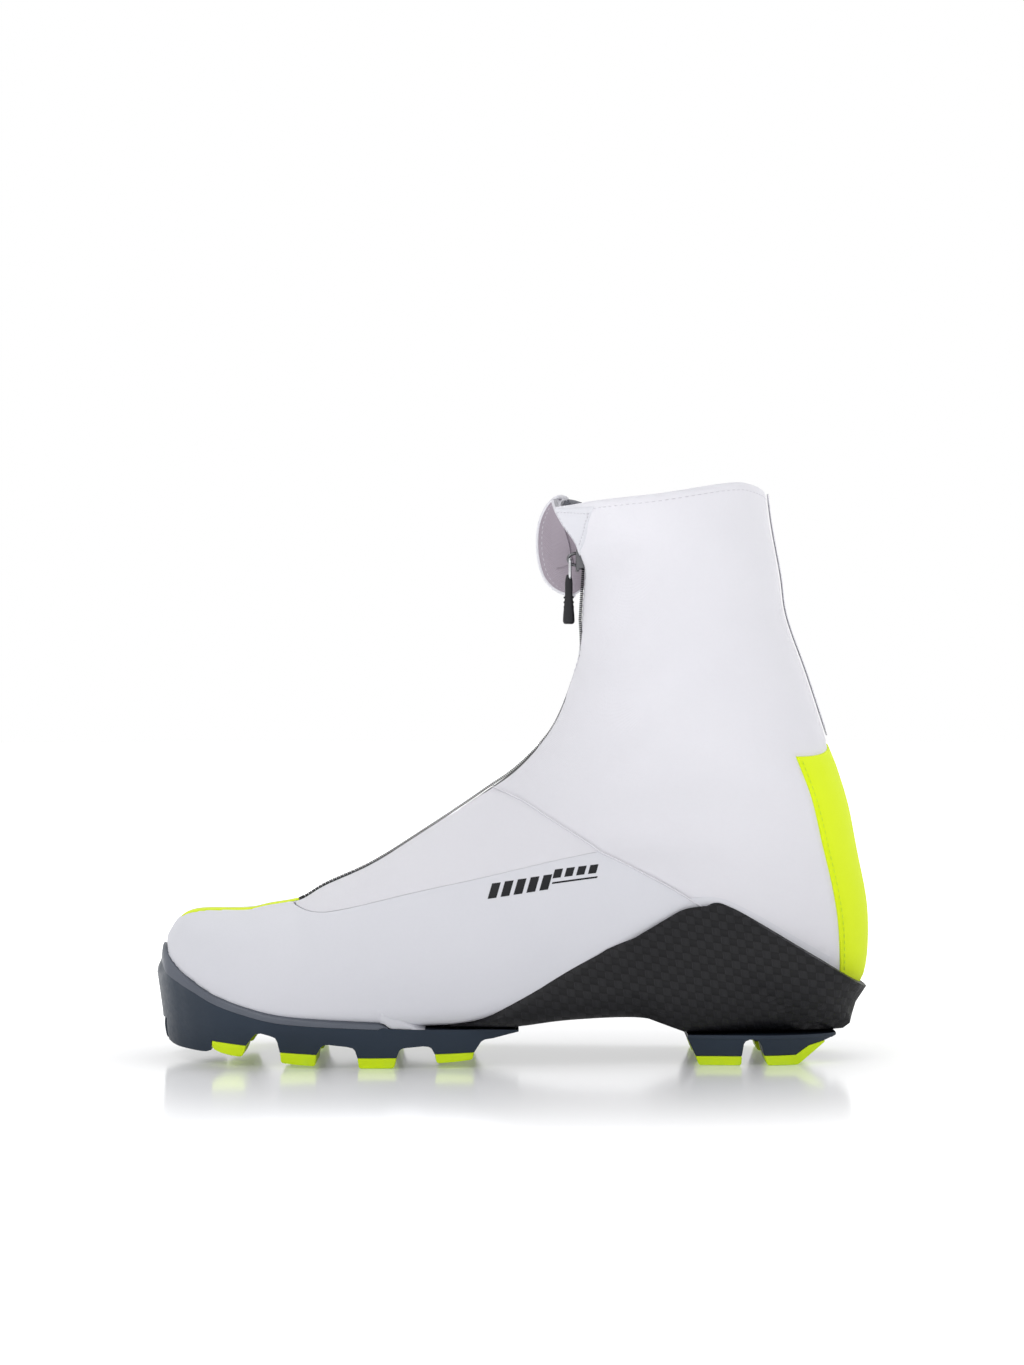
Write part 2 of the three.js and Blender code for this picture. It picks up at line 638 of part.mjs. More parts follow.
const outsoleTop = smooth([[-60, 50], [-48.8, 44.4], [-46.7, 38], [-42.9, 31.3], [-40.1, 27.3],
  [-36, 23.6], [-31.9, 20.9],
  [-27.2, 19.6], [-17.8, 17.8], [-12, 15.8], [-3.8, 14.9], [0.9, 14.2]].map(([x, z]) => spot(x, z)),
  26);
const outsoleBottom = [[0.9, 13.9], [-4, 10.6], [-10.8, 8.8], [-14.8, 8], [-21.6, 8.6], [-24.9, 9.6],
  [-32.4, 12.5],
  [-34.4, 14.2], [-42.2, 12], [-42.4, 4.8], [-47.2, 6], [-47.9, 7.4],
  [-60, 7.4]].map(([x, z]) => spot(x, z));
const bothSides = unite([block([-far, -far, -far], [far, -channelHalfWidth, far]),
  block([-far, channelHalfWidth, -far], [far, far, far])]);

function guideGrooves(fromX, toX, ceiling) {
  return unite([-1, 1].map((sign) => block(
    [fromX, sign * grooveOffset - grooveHalfWidth, -far],
    [toX, sign * grooveOffset + grooveHalfWidth, ceiling])));
}

const barX = along(-45.7);
const barZ = 11.5;
function toeRecess() {
  const recess = block([barX - 5, -recessHalfWidth, -far], [barX + 6, recessHalfWidth, barZ + 4]);
  return recess.add(crossRod(barX, barZ, barRadius + fitGap, barLength / 2 + fitGap));
}

const bumper = sideRegion([...outsoleTop, ...outsoleBottom]);
const frontOutsole = () => mainBody(
  unite([
    sole.intersect(bumper),
    ...ballLugs.map((lug) => sole.intersect(sideRegion(lugOutline(lug))).intersect(bothSides)),
  ])
    .subtract(aroundLast)
    .subtract(toeRecess())
    .subtract(guideGrooves(along(-42), along(3), 8.6 + grooveDepth)));
const toeBar = () => crossRod(barX, barZ, barRadius, barLength / 2);

const heelPlateOutline = [[23.9, 11.4], [44.7, 11.4], [42.9, 10.4], [42.6, 10.2],
  [24.1, 10.2]].map(([x, z]) => spot(x, z));
const heelOutsole = () => mainBody(unite([
  sole.intersect(sideRegion(heelPlateOutline)),
  ...heelLugs.map((lug) => sole.intersect(sideRegion(lugOutline(lug))).intersect(bothSides)),
]));

function treadPad(lug, side) {
  const half = side === 'lateral'
    ? block([-far, -far, -far], [far, -channelHalfWidth, far])
    : block([-far, channelHalfWidth, -far], [far, far, far]);
  return mainBody(sole.intersect(sideRegion(treadOutline(lug))).intersect(half));
}

// ---------- chassis ----------
const cupTop = smooth([[-9, 16.6], [-3.4, 20.6], [1.3, 26], [6.9, 35], [14, 46.7], [18.8, 53.7],
  [22.3, 60.3], [26, 62.7],
  [29.8, 60.8], [34.5, 53.3], [38.6, 46.8], [44.8, 36], [49.1, 29.8],
  [49.4, 28.4]].map(([x, z]) => spot(x, z)), 30);
const cupBottom = [[49.4, 26.5], [48.5, 25.6], [47.5, 21.2], [47.2, 15.4], [46.6, 12.9], [45.4, 11.7],
  [23.7, 11.7],
  [21.3, 14.7], [19.4, 17.3], [15.1, 18], [7.2, 17.2], [0.9, 14.8],
  [-9, 15.4]].map(([x, z]) => spot(x, z));
const insideCup = sideRegion([corner(cupTop[0].x, -far),
  ...cupTop.map((point) => corner(point.x, point.y + fitGap)),
  corner(far, cupTop.at(-1).y), corner(far, -far)]);
const heelStrip = () => mainBody(shell(heelStripProud, -coverThickness)
  .intersect(heelStripRegion)
  .subtract(shell(heelStripProud + 1, 0).intersect(insideCup)));

const underfoot = block([-far, -far, -far], [far, far, soleHeight + 10]);
const carbonChassis = () => mainBody(
  lastSolid(fitGap + cupThickness).add(sole.intersect(underfoot))
    .intersect(sideRegion([...cupTop, ...cupBottom]))
    .subtract(aroundLast));

// ---------- materials ----------
const finish = (color, roughness, metalness = 0) => ({ color, roughness, metalness });
const finishes = {
  coverFabric: finish(0xe4e3e8, 0.8),
  overlayFilm: finish(0xdedde3, 0.6),
  neonWebbing: finish(0xddf318, 0.7),
  neonRubber: finish(0xb9ff0a, 0.6),
  slateRubber: finish(0x3a4658, 0.6),
  carbonWeave: finish(0x28282c, 0.35),
  tapeFabric: finish(0x2c2c30, 0.85),
  zipPlastic: finish(0x1a1a1c, 0.45),
  brightSteel: finish(0xb9bcc0, 0.3, 1),
  gripRubber: finish(0x1c1c1f, 0.7),
  hookFabric: finish(0x8a8590, 0.9),
  linerFabric: finish(0x5a5860, 0.95),
  foam: finish(0x3a3a40, 0.9),
  board: finish(0xb8a98a, 0.85),
  stiffener: finish(0xc9c9c9, 0.6),
};

const boot = new THREE.Group();
function addPiece(name, solid, look) {
  const mesh = solid.getMesh();
  const geometry = new THREE.BufferGeometry();
  geometry.setAttribute('position',
    new THREE.BufferAttribute(new Float32Array(mesh.vertProperties), 3));
  geometry.setIndex(new THREE.BufferAttribute(new Uint32Array(mesh.triVerts), 1));
  const piece = new THREE.Mesh(geometry, new THREE.MeshStandardMaterial(finishes[look]));
  piece.name = name;
  boot.add(piece);
}

addPiece('front_outsole', frontOutsole(), 'slateRubber');
addPiece('heel_outsole', heelOutsole(), 'slateRubber');
addPiece('toe_bar', toeBar(), 'brightSteel');
addPiece('carbon_chassis', carbonChassis(), 'carbonWeave');
for (const side of ['lateral', 'medial']) {
  ballLugs.forEach((lug, i) => addPiece(`ball_tread_${side}_${i + 1}`, treadPad(lug, side),
    'neonRubber'));
  heelLugs.forEach((lug, i) => addPiece(`heel_tread_${side}_${i + 1}`, treadPad(lug, side),
    'neonRubber'));
  addPiece(`vamp_panel_${side}`, coverPanel(vampRegion, side), 'overlayFilm');
  addPiece(`instep_panel_${side}`, coverPanel(instepRegion, side), 'coverFabric');
  addPiece(`shaft_panel_${side}`, coverPanel(shaftRegion, side), 'coverFabric');
  addPiece(`zip_tape_${side}`, zipTape(side), 'tapeFabric');
  addPiece(`lace_facing_${side}`, laceFacing(side), 'stiffener');
}
addPiece('toe_strip', toeStrip(), 'neonWebbing');
addPiece('heel_strip', heelStrip(), 'neonWebbing');
addPiece('zip_chain', zipChain(), 'zipPlastic');
addPiece('zip_bottom_stop', bottomStop(), 'zipPlastic');
addPiece('zip_slider', zipSlider(), 'zipPlastic');
addPiece('pull_link', pullLink(), 'brightSteel');
addPiece('pull_grip', pullGrip(), 'gripRubber');
addPiece('collar_flap', collarFlap(), 'coverFabric');
addPiece('flap_hook_patch', hookPatch(), 'hookFabric');
addPiece('collar_corner_patch', cornerPatch(), 'overlayFilm');
addPiece('liner', liner(), 'linerFabric');
addPiece('tongue', tongue(), 'foam');
addPiece('toe_puff', toePuff(), 'stiffener');
addPiece('heel_counter', heelCounter(), 'stiffener');
addPiece('insole_board', insoleBoard(), 'board');
addPiece('footbed', footbed(), 'foam');

// Stand the boot on the ground with the middle of its box over the origin.
const box = new THREE.Box3().setFromObject(boot);
boot.position.set(-(box.min.x + box.max.x) / 2, -(box.min.y + box.max.y) / 2, -box.min.z);

export default boot;
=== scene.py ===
import math

import bpy
import bmesh
import numpy as np
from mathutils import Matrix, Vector
from mathutils.geometry import delaunay_2d_cdt


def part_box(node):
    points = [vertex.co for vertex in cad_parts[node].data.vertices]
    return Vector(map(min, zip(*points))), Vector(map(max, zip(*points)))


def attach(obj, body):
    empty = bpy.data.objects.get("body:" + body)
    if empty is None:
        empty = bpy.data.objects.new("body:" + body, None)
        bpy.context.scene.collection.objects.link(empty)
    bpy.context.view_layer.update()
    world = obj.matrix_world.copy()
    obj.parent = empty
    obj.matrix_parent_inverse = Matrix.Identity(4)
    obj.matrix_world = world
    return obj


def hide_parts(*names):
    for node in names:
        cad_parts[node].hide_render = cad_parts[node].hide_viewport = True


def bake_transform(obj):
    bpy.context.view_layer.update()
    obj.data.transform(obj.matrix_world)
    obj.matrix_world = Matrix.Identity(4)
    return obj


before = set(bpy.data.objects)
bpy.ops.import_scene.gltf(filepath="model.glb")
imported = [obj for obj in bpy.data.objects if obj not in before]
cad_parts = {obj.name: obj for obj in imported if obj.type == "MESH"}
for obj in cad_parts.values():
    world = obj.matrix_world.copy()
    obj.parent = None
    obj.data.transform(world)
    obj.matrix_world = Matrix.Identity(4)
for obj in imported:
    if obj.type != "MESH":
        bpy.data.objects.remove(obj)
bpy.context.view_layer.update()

# ---------------------------------------------------------------- sizes, in millimetres and degrees
# The boot is drawn in millimetres about the middle of its sole and then set into the frame.
MM = 0.001
BOOT_LENGTH = 284.8
BOOT_HEIGHT = 226.8
SOLE_HEIGHT = 15.5
COVER = 1.5
OVERLAY_LIFT = 0.45
CUP_OUT = 2.2
CUP_THICKNESS = 1.7
TOE_STRIP_HALF = 3.6
CHANNEL_HALF = 14.0
BAR_Z = 11.5
FINE = 1.7
EDGE_ANGLE = 35
LUG_SPACING = 2.2
COLLAR_OPEN = 5.2
CORNER_RISE = 4.6
WELT_RADIUS = 0.36
BACK_EDGE = math.pi - 0.004

FULL_TURN = 2 * math.pi


def along(percent):
    return percent / 100 * BOOT_LENGTH


def up(percent):
    return SOLE_HEIGHT + percent / 100 * (BOOT_HEIGHT - SOLE_HEIGHT)


def places(rows):
    return np.array([(along(x), up(z)) for x, z in rows])


def spots(rows):
    return np.array([(along(x), z) for x, z in rows])


# The toe bar lies across the sole's middle line, so its box tells where the CAD's frame is.
bar_low, bar_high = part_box("toe_bar")
SHIFT = np.array([(bar_low[0] + bar_high[0]) / 2 / MM - along(-45.7), (bar_low[1] + bar_high[1]) / 2 / MM,
    0])


def to_frame(points):
    return (np.asarray(points, float) + SHIFT) * MM


# ---------------------------------------------------------------- curves and the last
def spline(points, steps):
    points = np.asarray(points, float)
    count = len(points)
    at = np.linspace(0, count - 1, steps + 1)
    i = np.minimum(at.astype(int), count - 2)
    t = (at - i)[:, None]
    p0, p1, p2, p3 = (points[np.clip(i + k, 0, count - 1)] for k in (-1, 0, 1, 2))
    v0 = (p2 - p0) / 2
    v1 = (p3 - p1) / 2
    return (2 * p1 - 2 * p2 + v0 + v1) * t**3 + (3 * p2 - 3 * p1 - 2 * v0 - v1) * t**2 + v0 * t + p1


def resample(points, spacing, closed=False):
    """Points about spacing apart along a line, its corners kept."""
    points = np.asarray(points, float)
    if closed:
        points = np.vstack([points, points[:1]])
    out = []
    for a, b in zip(points[:-1], points[1:]):
        steps = max(1, int(round(np.linalg.norm(b - a) / spacing)))
        out += [a + (b - a) * k / steps for k in range(steps)]
    if not closed:
        out.append(points[-1])
    return np.array(out)


CREST = places([
    (-48.66, 12.6), (-48.4, 15), (-47.7, 16.8), (-46.6, 18.7), (-44, 20.2), (-37.2, 20.4), (-34.1, 21.2),
    (-29.7, 22.4), (-26.1, 25.2), (-19.5, 29.3), (-11.7, 35.9), (-4.5, 42.4), (0.8, 47.7), (5.6, 55.3),
    (8.6, 65.3), (9.4, 70), (9.7, 76.4), (9.95, 82.6), (10.1, 88), (9.6, 90.3), (8.3, 93.2), (7.1, 97),
    (6.3, 103)])
KEEL = places([
    (-48.66, 12.6), (-48.5, 10), (-47.6, 7), (-45.4, 4.2), (-42, 2), (-37, 0.6), (-30, 0.1), (-20, -0.1),
    (-12, 0), (-3.5, 0.6), (5.3, 1.9), (14.7, 2.8), (22.8, 1.7), (30, 0.6), (39.5, 0.4), (44.6, 1.6),
    (47.6, 4.4), (49, 8.4), (49.6, 14), (49.45, 22), (48.1, 31.5), (46.7, 41), (44.2, 51.5),
    (41.1, 64.3), (38.2, 75.4), (37.3, 83.5), (35.9, 94), (35.2, 103)])
CUP_KEEL = spots([
    (-48.66, 42.1), (-45, 20), (-30, 15.4), (-11, 15.2), (-3.8, 15), (0.9, 15), (7.2, 17.1), (15.1, 18),
    (19.4, 17.2),
    (21.3, 14.7), (23.7, 12), (26, 11.7), (35, 11.7), (43, 11.8), (45.6, 12.0), (46.7, 13.2),
    (47.2, 15.8), (47.5, 21.2),
    (48.4, 25.8), (49.4, 29.4), (49.9, 40), (49.6, 61.7)])
PIVOT = np.array([along(-25.6), up(75)])
LAST_TOP = up(103)
TOE_X = CREST[0, 0]


def station_of(x, z):
    """0 at the toe, 1 under the throat's centre, 2 level with it and 3 at the last's top."""
    x, z = np.broadcast_arrays(np.asarray(x, float), np.asarray(z, float))
    fan = 1 + np.arctan2(x - PIVOT[0], PIVOT[1] - z) / (math.pi / 2)
    shaft = 2 + (z - PIVOT[1]) / (LAST_TOP - PIVOT[1])
    return np.where(x <= PIVOT[0], (x - TOE_X) / (PIVOT[0] - TOE_X), np.where(z < PIVOT[1], fan, shaft))


def profile(outline):
    """An outline of the side view as a function of the station."""
    points = spline(outline, len(outline) * 12)
    stations = station_of(points[:, 0], points[:, 1])
    return lambda s: np.stack([np.interp(s, stations, points[:, 0]),
        np.interp(s, stations, points[:, 1])], -1)


def smooth_rows(rows):
    points = spline(rows, len(rows) * 16)
    return lambda s: np.interp(s, points[:, 0], points[:, 1])


crest_at = profile(CREST)
keel_at = profile(KEEL)
cup_keel_at = profile(CUP_KEEL)
half_width_behind = smooth_rows([
    (1, 46.5), (1.17, 46.5), (1.36, 42), (1.5, 37), (1.62, 35.5), (1.76, 36.5), (2, 39.5), (3, 40.5)])
widest_share = smooth_rows([(0, 0.6), (0.5, 0.72), (1, 0.76), (1.35, 0.72), (1.6, 0.56), (2, 0.5),
    (3, 0.5)])
crest_roundness = smooth_rows([(0, 2.2), (0.5, 2.3), (1, 2.1), (1.4, 1.9), (2, 2), (3, 2)])
keel_roundness = smooth_rows([(0, 2.2), (0.3, 3.4), (1, 4.6), (1.4, 4.6), (1.55, 3.2), (1.7, 2.3),
    (3, 2.1)])
centre_line = smooth_rows([(0, 5), (0.6, 3), (1, 1), (1.3, -1.5), (1.6, 0), (3, 0)])


def half_width_at(s):
    """Half the last's width: a rounded toe up to station 1, and the listed widths behind it."""
    front = 46.5 * np.sqrt(np.clip(1 - (1 - np.clip(s, 0, 1)) ** 2.4, 0, 1))
    return np.where(s >= 1, half_width_behind(s), front)


def section(s, offset, cup=False):
    """Crest, keel, half width, widest share and keel roundness of the last's sections grown by an offset."""
    s = np.asarray(s, float)
    offset = np.broadcast_to(np.asarray(offset, float), s.shape)
    crest = crest_at(s)
    keel = keel_at(s)
    growth = offset * np.sqrt(1 - (1 - np.clip(s / 0.35, 0, 1)) ** 2)
    ray = np.where((s < 2)[..., None], crest - PIVOT, np.array([1.0, 0.0]))
    ray = ray / np.linalg.norm(ray, axis=-1, keepdims=True)
    tangent = keel_at(s + 0.01) - keel_at(s - 0.01)
    tangent /= np.linalg.norm(tangent, axis=-1, keepdims=True) + 1e-9
    facing = np.maximum(0.55, np.abs(tangent[..., 0] * ray[..., 1] - tangent[..., 1] * ray[..., 0]))
    fore = (s <= 1)[..., None]
    slide = (offset * (1 - np.clip(s, 0, 1)))[..., None] * np.array([-1.0, 0.0])
    rise = growth[..., None] * np.array([0.0, 1.0])
    out_crest = np.where(fore, crest + slide + rise, crest - ray * offset[..., None])
    out_keel = np.where(fore, keel + slide - rise, keel + ray * (offset / facing)[..., None])
    widest = widest_share(s)
    roundness = keel_roundness(s)
    if cup:
        own = np.linalg.norm(keel - crest, axis=-1)
        out_keel = cup_keel_at(s)
        widest = widest * own / np.linalg.norm(out_keel - out_crest, axis=-1)
        roundness = roundness + 1.2
    return out_crest, out_keel, half_width_at(s) + growth, widest, roundness


def last_points(s, turn, offset, cup=False):
    """Points on the last: turn 0 is the crest, plus or minus pi the keel, and negative the lateral side."""
    s, turn = np.broadcast_arrays(np.asarray(s, float), np.asarray(turn, float))
    crest, keel, half, widest, roundness = section(s, offset, cup)
    cos = np.cos(turn)
    sin = np.sin(turn)
    power = 2 / np.where(cos > 0, crest_roundness(s), roundness)
    reach = np.abs(cos) ** power
    share = np.where(cos > 0, widest * (1 - reach), widest + (1 - widest) * reach)
    middle = crest + (keel - crest) * share[..., None]
    y = centre_line(s) + np.sign(sin) * half * np.abs(sin) ** power
    return np.stack([middle[..., 0], y, middle[..., 1]], -1)


def turn_of(x, z, offset=0.0, cup=False):
    """How far round the section a point of the side view lies, 0 on the crest and pi on the keel."""
    s = station_of(x, z)
    crest, keel, _, widest, roundness = section(s, offset, cup)
    axis = keel - crest
    share = ((np.stack(np.broadcast_arrays(x, z), -1) - crest) * axis).sum(-1) / (axis**2).sum(-1)
    share = np.clip(share, 0, 1)
    front = np.clip(1 - share / widest, 0, 1) ** (crest_roundness(s) / 2)
    back = np.clip((share - widest) / (1 - widest), 0, 1) ** (roundness / 2)
    return np.where(share < widest, np.arccos(front), np.arccos(-back))


def turn_at_y(s, y):
    """The turn near the crest at which a section's surface is y from the boot's middle line."""
    share = np.clip(np.abs(y - centre_line(s)) / half_width_at(s), 0, 1)
    return np.sign(y - centre_line(s)) * np.arcsin(share ** (crest_roundness(s) / 2))


# ---------------------------------------------------------------- mesh making
TO_FLAT = np.array([95.0, 42.0])


def build(name, vertices, faces, finish=None, smooth=True, sharp_angle=None):
    mesh = bpy.data.meshes.new(name)
    mesh.from_pydata([tuple(v) for v in vertices], [], [tuple(int(i) for i in f) for f in faces])
    work = bmesh.new()
    work.from_mesh(mesh)
    bmesh.ops.recalc_face_normals(work, faces=work.faces)
    work.to_mesh(mesh)
    work.free()
    mesh.polygons.foreach_set("use_smooth", [smooth] * len(mesh.polygons))
    if sharp_angle is not None:
        mesh.set_sharp_from_angle(angle=math.radians(sharp_angle))
    piece = bpy.data.objects.new(name, mesh)
    bpy.context.collection.objects.link(piece)
    if finish is not None:
        mesh.materials.append(finish)
    return piece


def inside(points, outline):
    """Which flat points lie inside a closed outline."""
    x, y = points[:, :1], points[:, 1:]
    x0, y0 = outline[:, 0], outline[:, 1]
    x1, y1 = np.roll(x0, -1), np.roll(y0, -1)
    crosses = (y0 > y) != (y1 > y)
    with np.errstate(divide="ignore", invalid="ignore"):
        meets = x < (x1 - x0) * (y - y0) / (y1 - y0) + x0
    return (crosses & meets).sum(1) % 2 == 1


def distance_to(points, outline):
    """How far each flat point lies from a closed outline."""
    a = outline
    ab = np.roll(outline, -1, axis=0) - a
    out = np.full(len(points), 1e9)
    for start in range(0, len(points), 2000):
        p = points[start:start + 2000, None, :]
        t = np.clip(((p - a) * ab).sum(-1) / ((ab**2).sum(-1) + 1e-12), 0, 1)
        near = a + ab * t[..., None]
        out[start:start + 2000] = np.sqrt(((p - near) ** 2).sum(-1)).min(1)
    return out


def fill(outline, spacing):
    """Points and triangles that fill a flat outline, with the outline's own points."""
    edge = resample(outline, spacing, closed=True)
    low, high = edge.min(0), edge.max(0)
    xs = np.arange(low[0], high[0], spacing)
    ys = np.arange(low[1], high[1], spacing * 0.87)
    grid = np.array([(x + (row % 2) * spacing / 2, y) for row, y in enumerate(ys) for x in xs])
    grid = grid[inside(grid, edge)]
    if len(grid):
        grid = grid[distance_to(grid, edge) > spacing * 0.55]
    points = [Vector(p) for p in np.vstack([edge, grid])]
    flat, _, faces, *_ = delaunay_2d_cdt(points, [], [list(range(len(edge)))], 1, 1e-7)
    return np.array([(p[0], p[1]) for p in flat]), faces, edge


def shell(name, outer, inner, faces, finish, sharp_angle=50):
    """A closed solid between two sheets that share one set of triangles."""
    count = len(outer)
    edges = {(a, b) for face in faces for a, b in zip(face, list(face[1:]) + [face[0]])}
    rim = [(a, b) for (a, b) in sorted(edges) if (b, a) not in edges]
    solid = [tuple(f) for f in faces] + [tuple(i + count for i in reversed(f)) for f in faces]
    solid += [(b, a, a + count, b + count) for a, b in rim]
    return build(name, to_frame(np.vstack([outer, inner])), solid, finish, sharp_angle=sharp_angle)


def skin(name, outline, offset, thickness, finish, spacing=FINE, roll=1.6, drop=0.8, cup=False, bend=None):
    """A closed sheet of one thickness over an outline in stations and turns, its edges rolled down."""
    flat, faces, edge = fill(np.asarray(outline, float) * TO_FLAT, spacing)
    reach = np.clip(1 - distance_to(flat, edge) / roll, 0, 1)
    s, turn = (flat / TO_FLAT).T
    lift = np.zeros(len(s)) if bend is None else bend(last_points(s, turn, offset, cup))
    outer = last_points(s, turn, offset + lift - drop * reach**2, cup)
    inner = last_points(s, turn, offset + lift - thickness)
    return shell(name, outer, inner, faces, finish)


def side_line(points, side, offset=0.0, cup=False):
    """A line of the side view as stations and turns on one side."""
    x, z = np.asarray(points, float).T
    return np.stack([station_of(x, z), side * turn_of(x, z, offset, cup)], -1)


def even_steps(points):
    """A line of points as a function of the length along it, and the line's whole length."""
    lengths = np.concatenate([[0], np.cumsum(np.linalg.norm(np.diff(points, axis=0), axis=1))])
    return lambda at: np.stack([np.interp(at, lengths, points[:, k]) for k in range(points.shape[1])],
        -1), lengths[-1]


def stitch_row(name, line, offset, pitch, length, radius, finish, bend=None):
    """Sewn stitches along a line of stations and turns, each a short spindle half sunk in the cloth."""
    dense = resample(np.asarray(line, float) * TO_FLAT, 1.0) / TO_FLAT
    s, turn = dense.T
    lift = 0.0 if bend is None else bend(last_points(s, turn, offset))
    place, total = even_steps(last_points(s, turn, offset + lift))
    parts = []
    for start in np.arange(pitch / 2, total - length, pitch):
        a, b = place(start), place(start + length)
        run = Vector(b - a).normalized()
        one = run.orthogonal().normalized()
        two = run.cross(one)
        rings = []
        for share, size in ((0, 0.35), (0.12, 0.8), (0.5, 1.0), (0.88, 0.8), (1, 0.35)):
            centre = a + (b - a) * share
            rings.append([centre + radius * size * (np.array(one) * math.cos(w) + np.array(two) * math.sin(w))
                          for w in np.arange(6) * FULL_TURN / 6])
        parts.append(loft(rings))
    return joined(name, parts, finish)


def tube(name, path, radius, finish, sides=8, closed=False):
    """A closed tube along points in millimetres."""
    path = np.asarray(path, float)
    rings = []
    normal = None
    for i, point in enumerate(path):
        before = path[i - 1] if closed or i else path[i]
        after = path[(i + 1) % len(path)] if closed or i < len(path) - 1 else path[i]
        tangent = Vector(after - before).normalized()
        if normal is None:
            normal = tangent.orthogonal().normalized()
        normal = (normal - tangent * normal.dot(tangent)).normalized()
        other = tangent.cross(normal)
        angles = np.arange(sides) * FULL_TURN / sides
        rings.append([point + radius * (np.array(normal) * math.cos(a) + np.array(other) * math.sin(a))
            for a in angles])
    vertices = np.array(rings).reshape(-1, 3)
    count = len(path)
    faces = []
    for i in range(count if closed else count - 1):
        for k in range(sides):
            a, b = i * sides + k, i * sides + (k + 1) % sides
            c, d = ((i + 1) % count) * sides + (k + 1) % sides, ((i + 1) % count) * sides + k
            faces.append((a, b, c, d))
    if not closed:
        faces += [tuple(range(sides))[::-1], tuple((count - 1) * sides + k for k in range(sides))]
    return build(name, to_frame(vertices), faces, finish)


def loft(rows, caps=True):
    """Vertices and faces of equal rows of points joined one to the next; each row is a closed ring."""
    rows = np.asarray(rows, float)
    count, width = rows.shape[:2]
    faces = []
    for i in range(count - 1):
        for k in range(width):
            j = (k + 1) % width
            faces.append((i * width + k, i * width + j, (i + 1) * width + j, (i + 1) * width + k))
    if caps:
        faces += [tuple(range(width))[::-1], tuple((count - 1) * width + k for k in range(width))]
    return rows.reshape(-1, 3), faces


def joined(name, parts, finish, **options):
    vertices, faces, start = [], [], 0
    for points, polygons in parts:
        vertices.append(np.asarray(points, float))
        faces += [tuple(i + start for i in f) for f in polygons]
        start += len(points)
    return build(name, to_frame(np.vstack(vertices)), faces, finish, **options)


def bevel(piece, width, segments=2):
    """Rounds a piece's sharp edges by a width in millimetres."""
    edge = piece.modifiers.new("edge", "BEVEL")
    edge.width = width * MM
    edge.segments = segments
    edge.limit_method = "ANGLE"
    edge.angle_limit = math.radians(EDGE_ANGLE)
    edge.harden_normals = False
    return piece


# ---------------------------------------------------------------- finishes
class Value:
    """A socket of a material's nodes, so that sums on it read as plain expressions."""

    def __init__(self, tree, socket):
        self.tree = tree
        self.socket = socket

    def math(self, operation, *others):
        node = self.tree.nodes.new("ShaderNodeMath")
        node.operation = operation
        for slot, item in zip(node.inputs, (self, *others)):
            if isinstance(item, Value):
                self.tree.links.new(item.socket, slot)
            else:
                slot.default_value = item
        return Value(self.tree, node.outputs[0])

    def __add__(self, other):
        return self.math("ADD", other)

    def __sub__(self, other):
        return self.math("SUBTRACT", other)

    def __mul__(self, other):
        return self.math("MULTIPLY", other)

    def __truediv__(self, other):
        return self.math("DIVIDE", other)

    def __rsub__(self, other):
        node = self.tree.nodes.new("ShaderNodeMath")
        node.operation = "SUBTRACT"
        node.inputs[0].default_value = other
        self.tree.links.new(self.socket, node.inputs[1])
        return Value(self.tree, node.outputs[0])

    __radd__ = __add__
    __rmul__ = __mul__

    def clamped(self):
        node = self.tree.nodes.new("ShaderNodeClamp")
        self.tree.links.new(self.socket, node.inputs[0])
        return Value(self.tree, node.outputs[0])

    def smoothstep(self, low, high):
        t = ((self - low) / (high - low)).clamped()
        return t * t * (3.0 - 2.0 * t)


class Finish:
    """A material on one Principled shader."""

    def __init__(self, name, **constants):
        self.material = bpy.data.materials.new(name)
        self.material.use_nodes = True
        self.tree = self.material.node_tree
        self.shader = self.tree.nodes["Principled BSDF"]
        for key, value in constants.items():
            self.shader.inputs[key.replace("_", " ")].default_value = value
        self.coordinates = None

    def add(self, kind, settings=None, inputs=None, output=0):
        """A new node of a kind with its settings and inputs, as the value of one of its outputs."""
        node = self.tree.nodes.new(kind)
        for key, value in (settings or {}).items():
            setattr(node, key, value)
        for key, value in (inputs or {}).items():
            if isinstance(value, Value):
                self.tree.links.new(value.socket, node.inputs[key])
            else:
                node.inputs[key].default_value = value
        return Value(self.tree, node.outputs[output])

    def place(self):
        """The object's own coordinates."""
        if self.coordinates is None:
            self.coordinates = self.add("ShaderNodeTexCoord", output="Object")
        return self.coordinates

    def axes(self):
        split = self.add("ShaderNodeSeparateXYZ", inputs={"Vector": self.place()})
        return [Value(self.tree, socket) for socket in split.socket.node.outputs]

    def noise(self, scale, detail=2.0, vector=None):
        inputs = {"Vector": vector or self.place(), "Scale": scale, "Detail": detail}
        return self.add("ShaderNodeTexNoise", inputs=inputs)

    def stretched(self, sx, sy, sz):
        return self.add("ShaderNodeMapping", inputs={"Vector": self.place(), "Scale": (sx, sy, sz)})

    def blend(self, factor, first, second):
        """A mix of two colours; a Mix node's colour sockets are its inputs 6 and 7 and its output 2."""
        first, second = (item if isinstance(item, Value) else (*item, 1.0) for item in (first, second))
        return self.add("ShaderNodeMix", {"data_type": "RGBA"}, {0: factor, 6: first, 7: second}, 2)

    def colour(self, value):
        self.tree.links.new(value.socket, self.shader.inputs["Base Color"])
        return self

    def roughness(self, value):
        self.tree.links.new(value.socket, self.shader.inputs["Roughness"])
        return self

    def bump(self, height, distance):
        normal = self.add("ShaderNodeBump", inputs={"Height": height, "Distance": distance * MM})
        self.tree.links.new(normal.socket, self.shader.inputs["Normal"])
        return self


def srgb(red, green, blue):
    def linear(value):
        value = value / 255
        return value / 12.92 if value <= 0.04045 else ((value + 0.055) / 1.055) ** 2.4
    return (linear(red), linear(green), linear(blue))


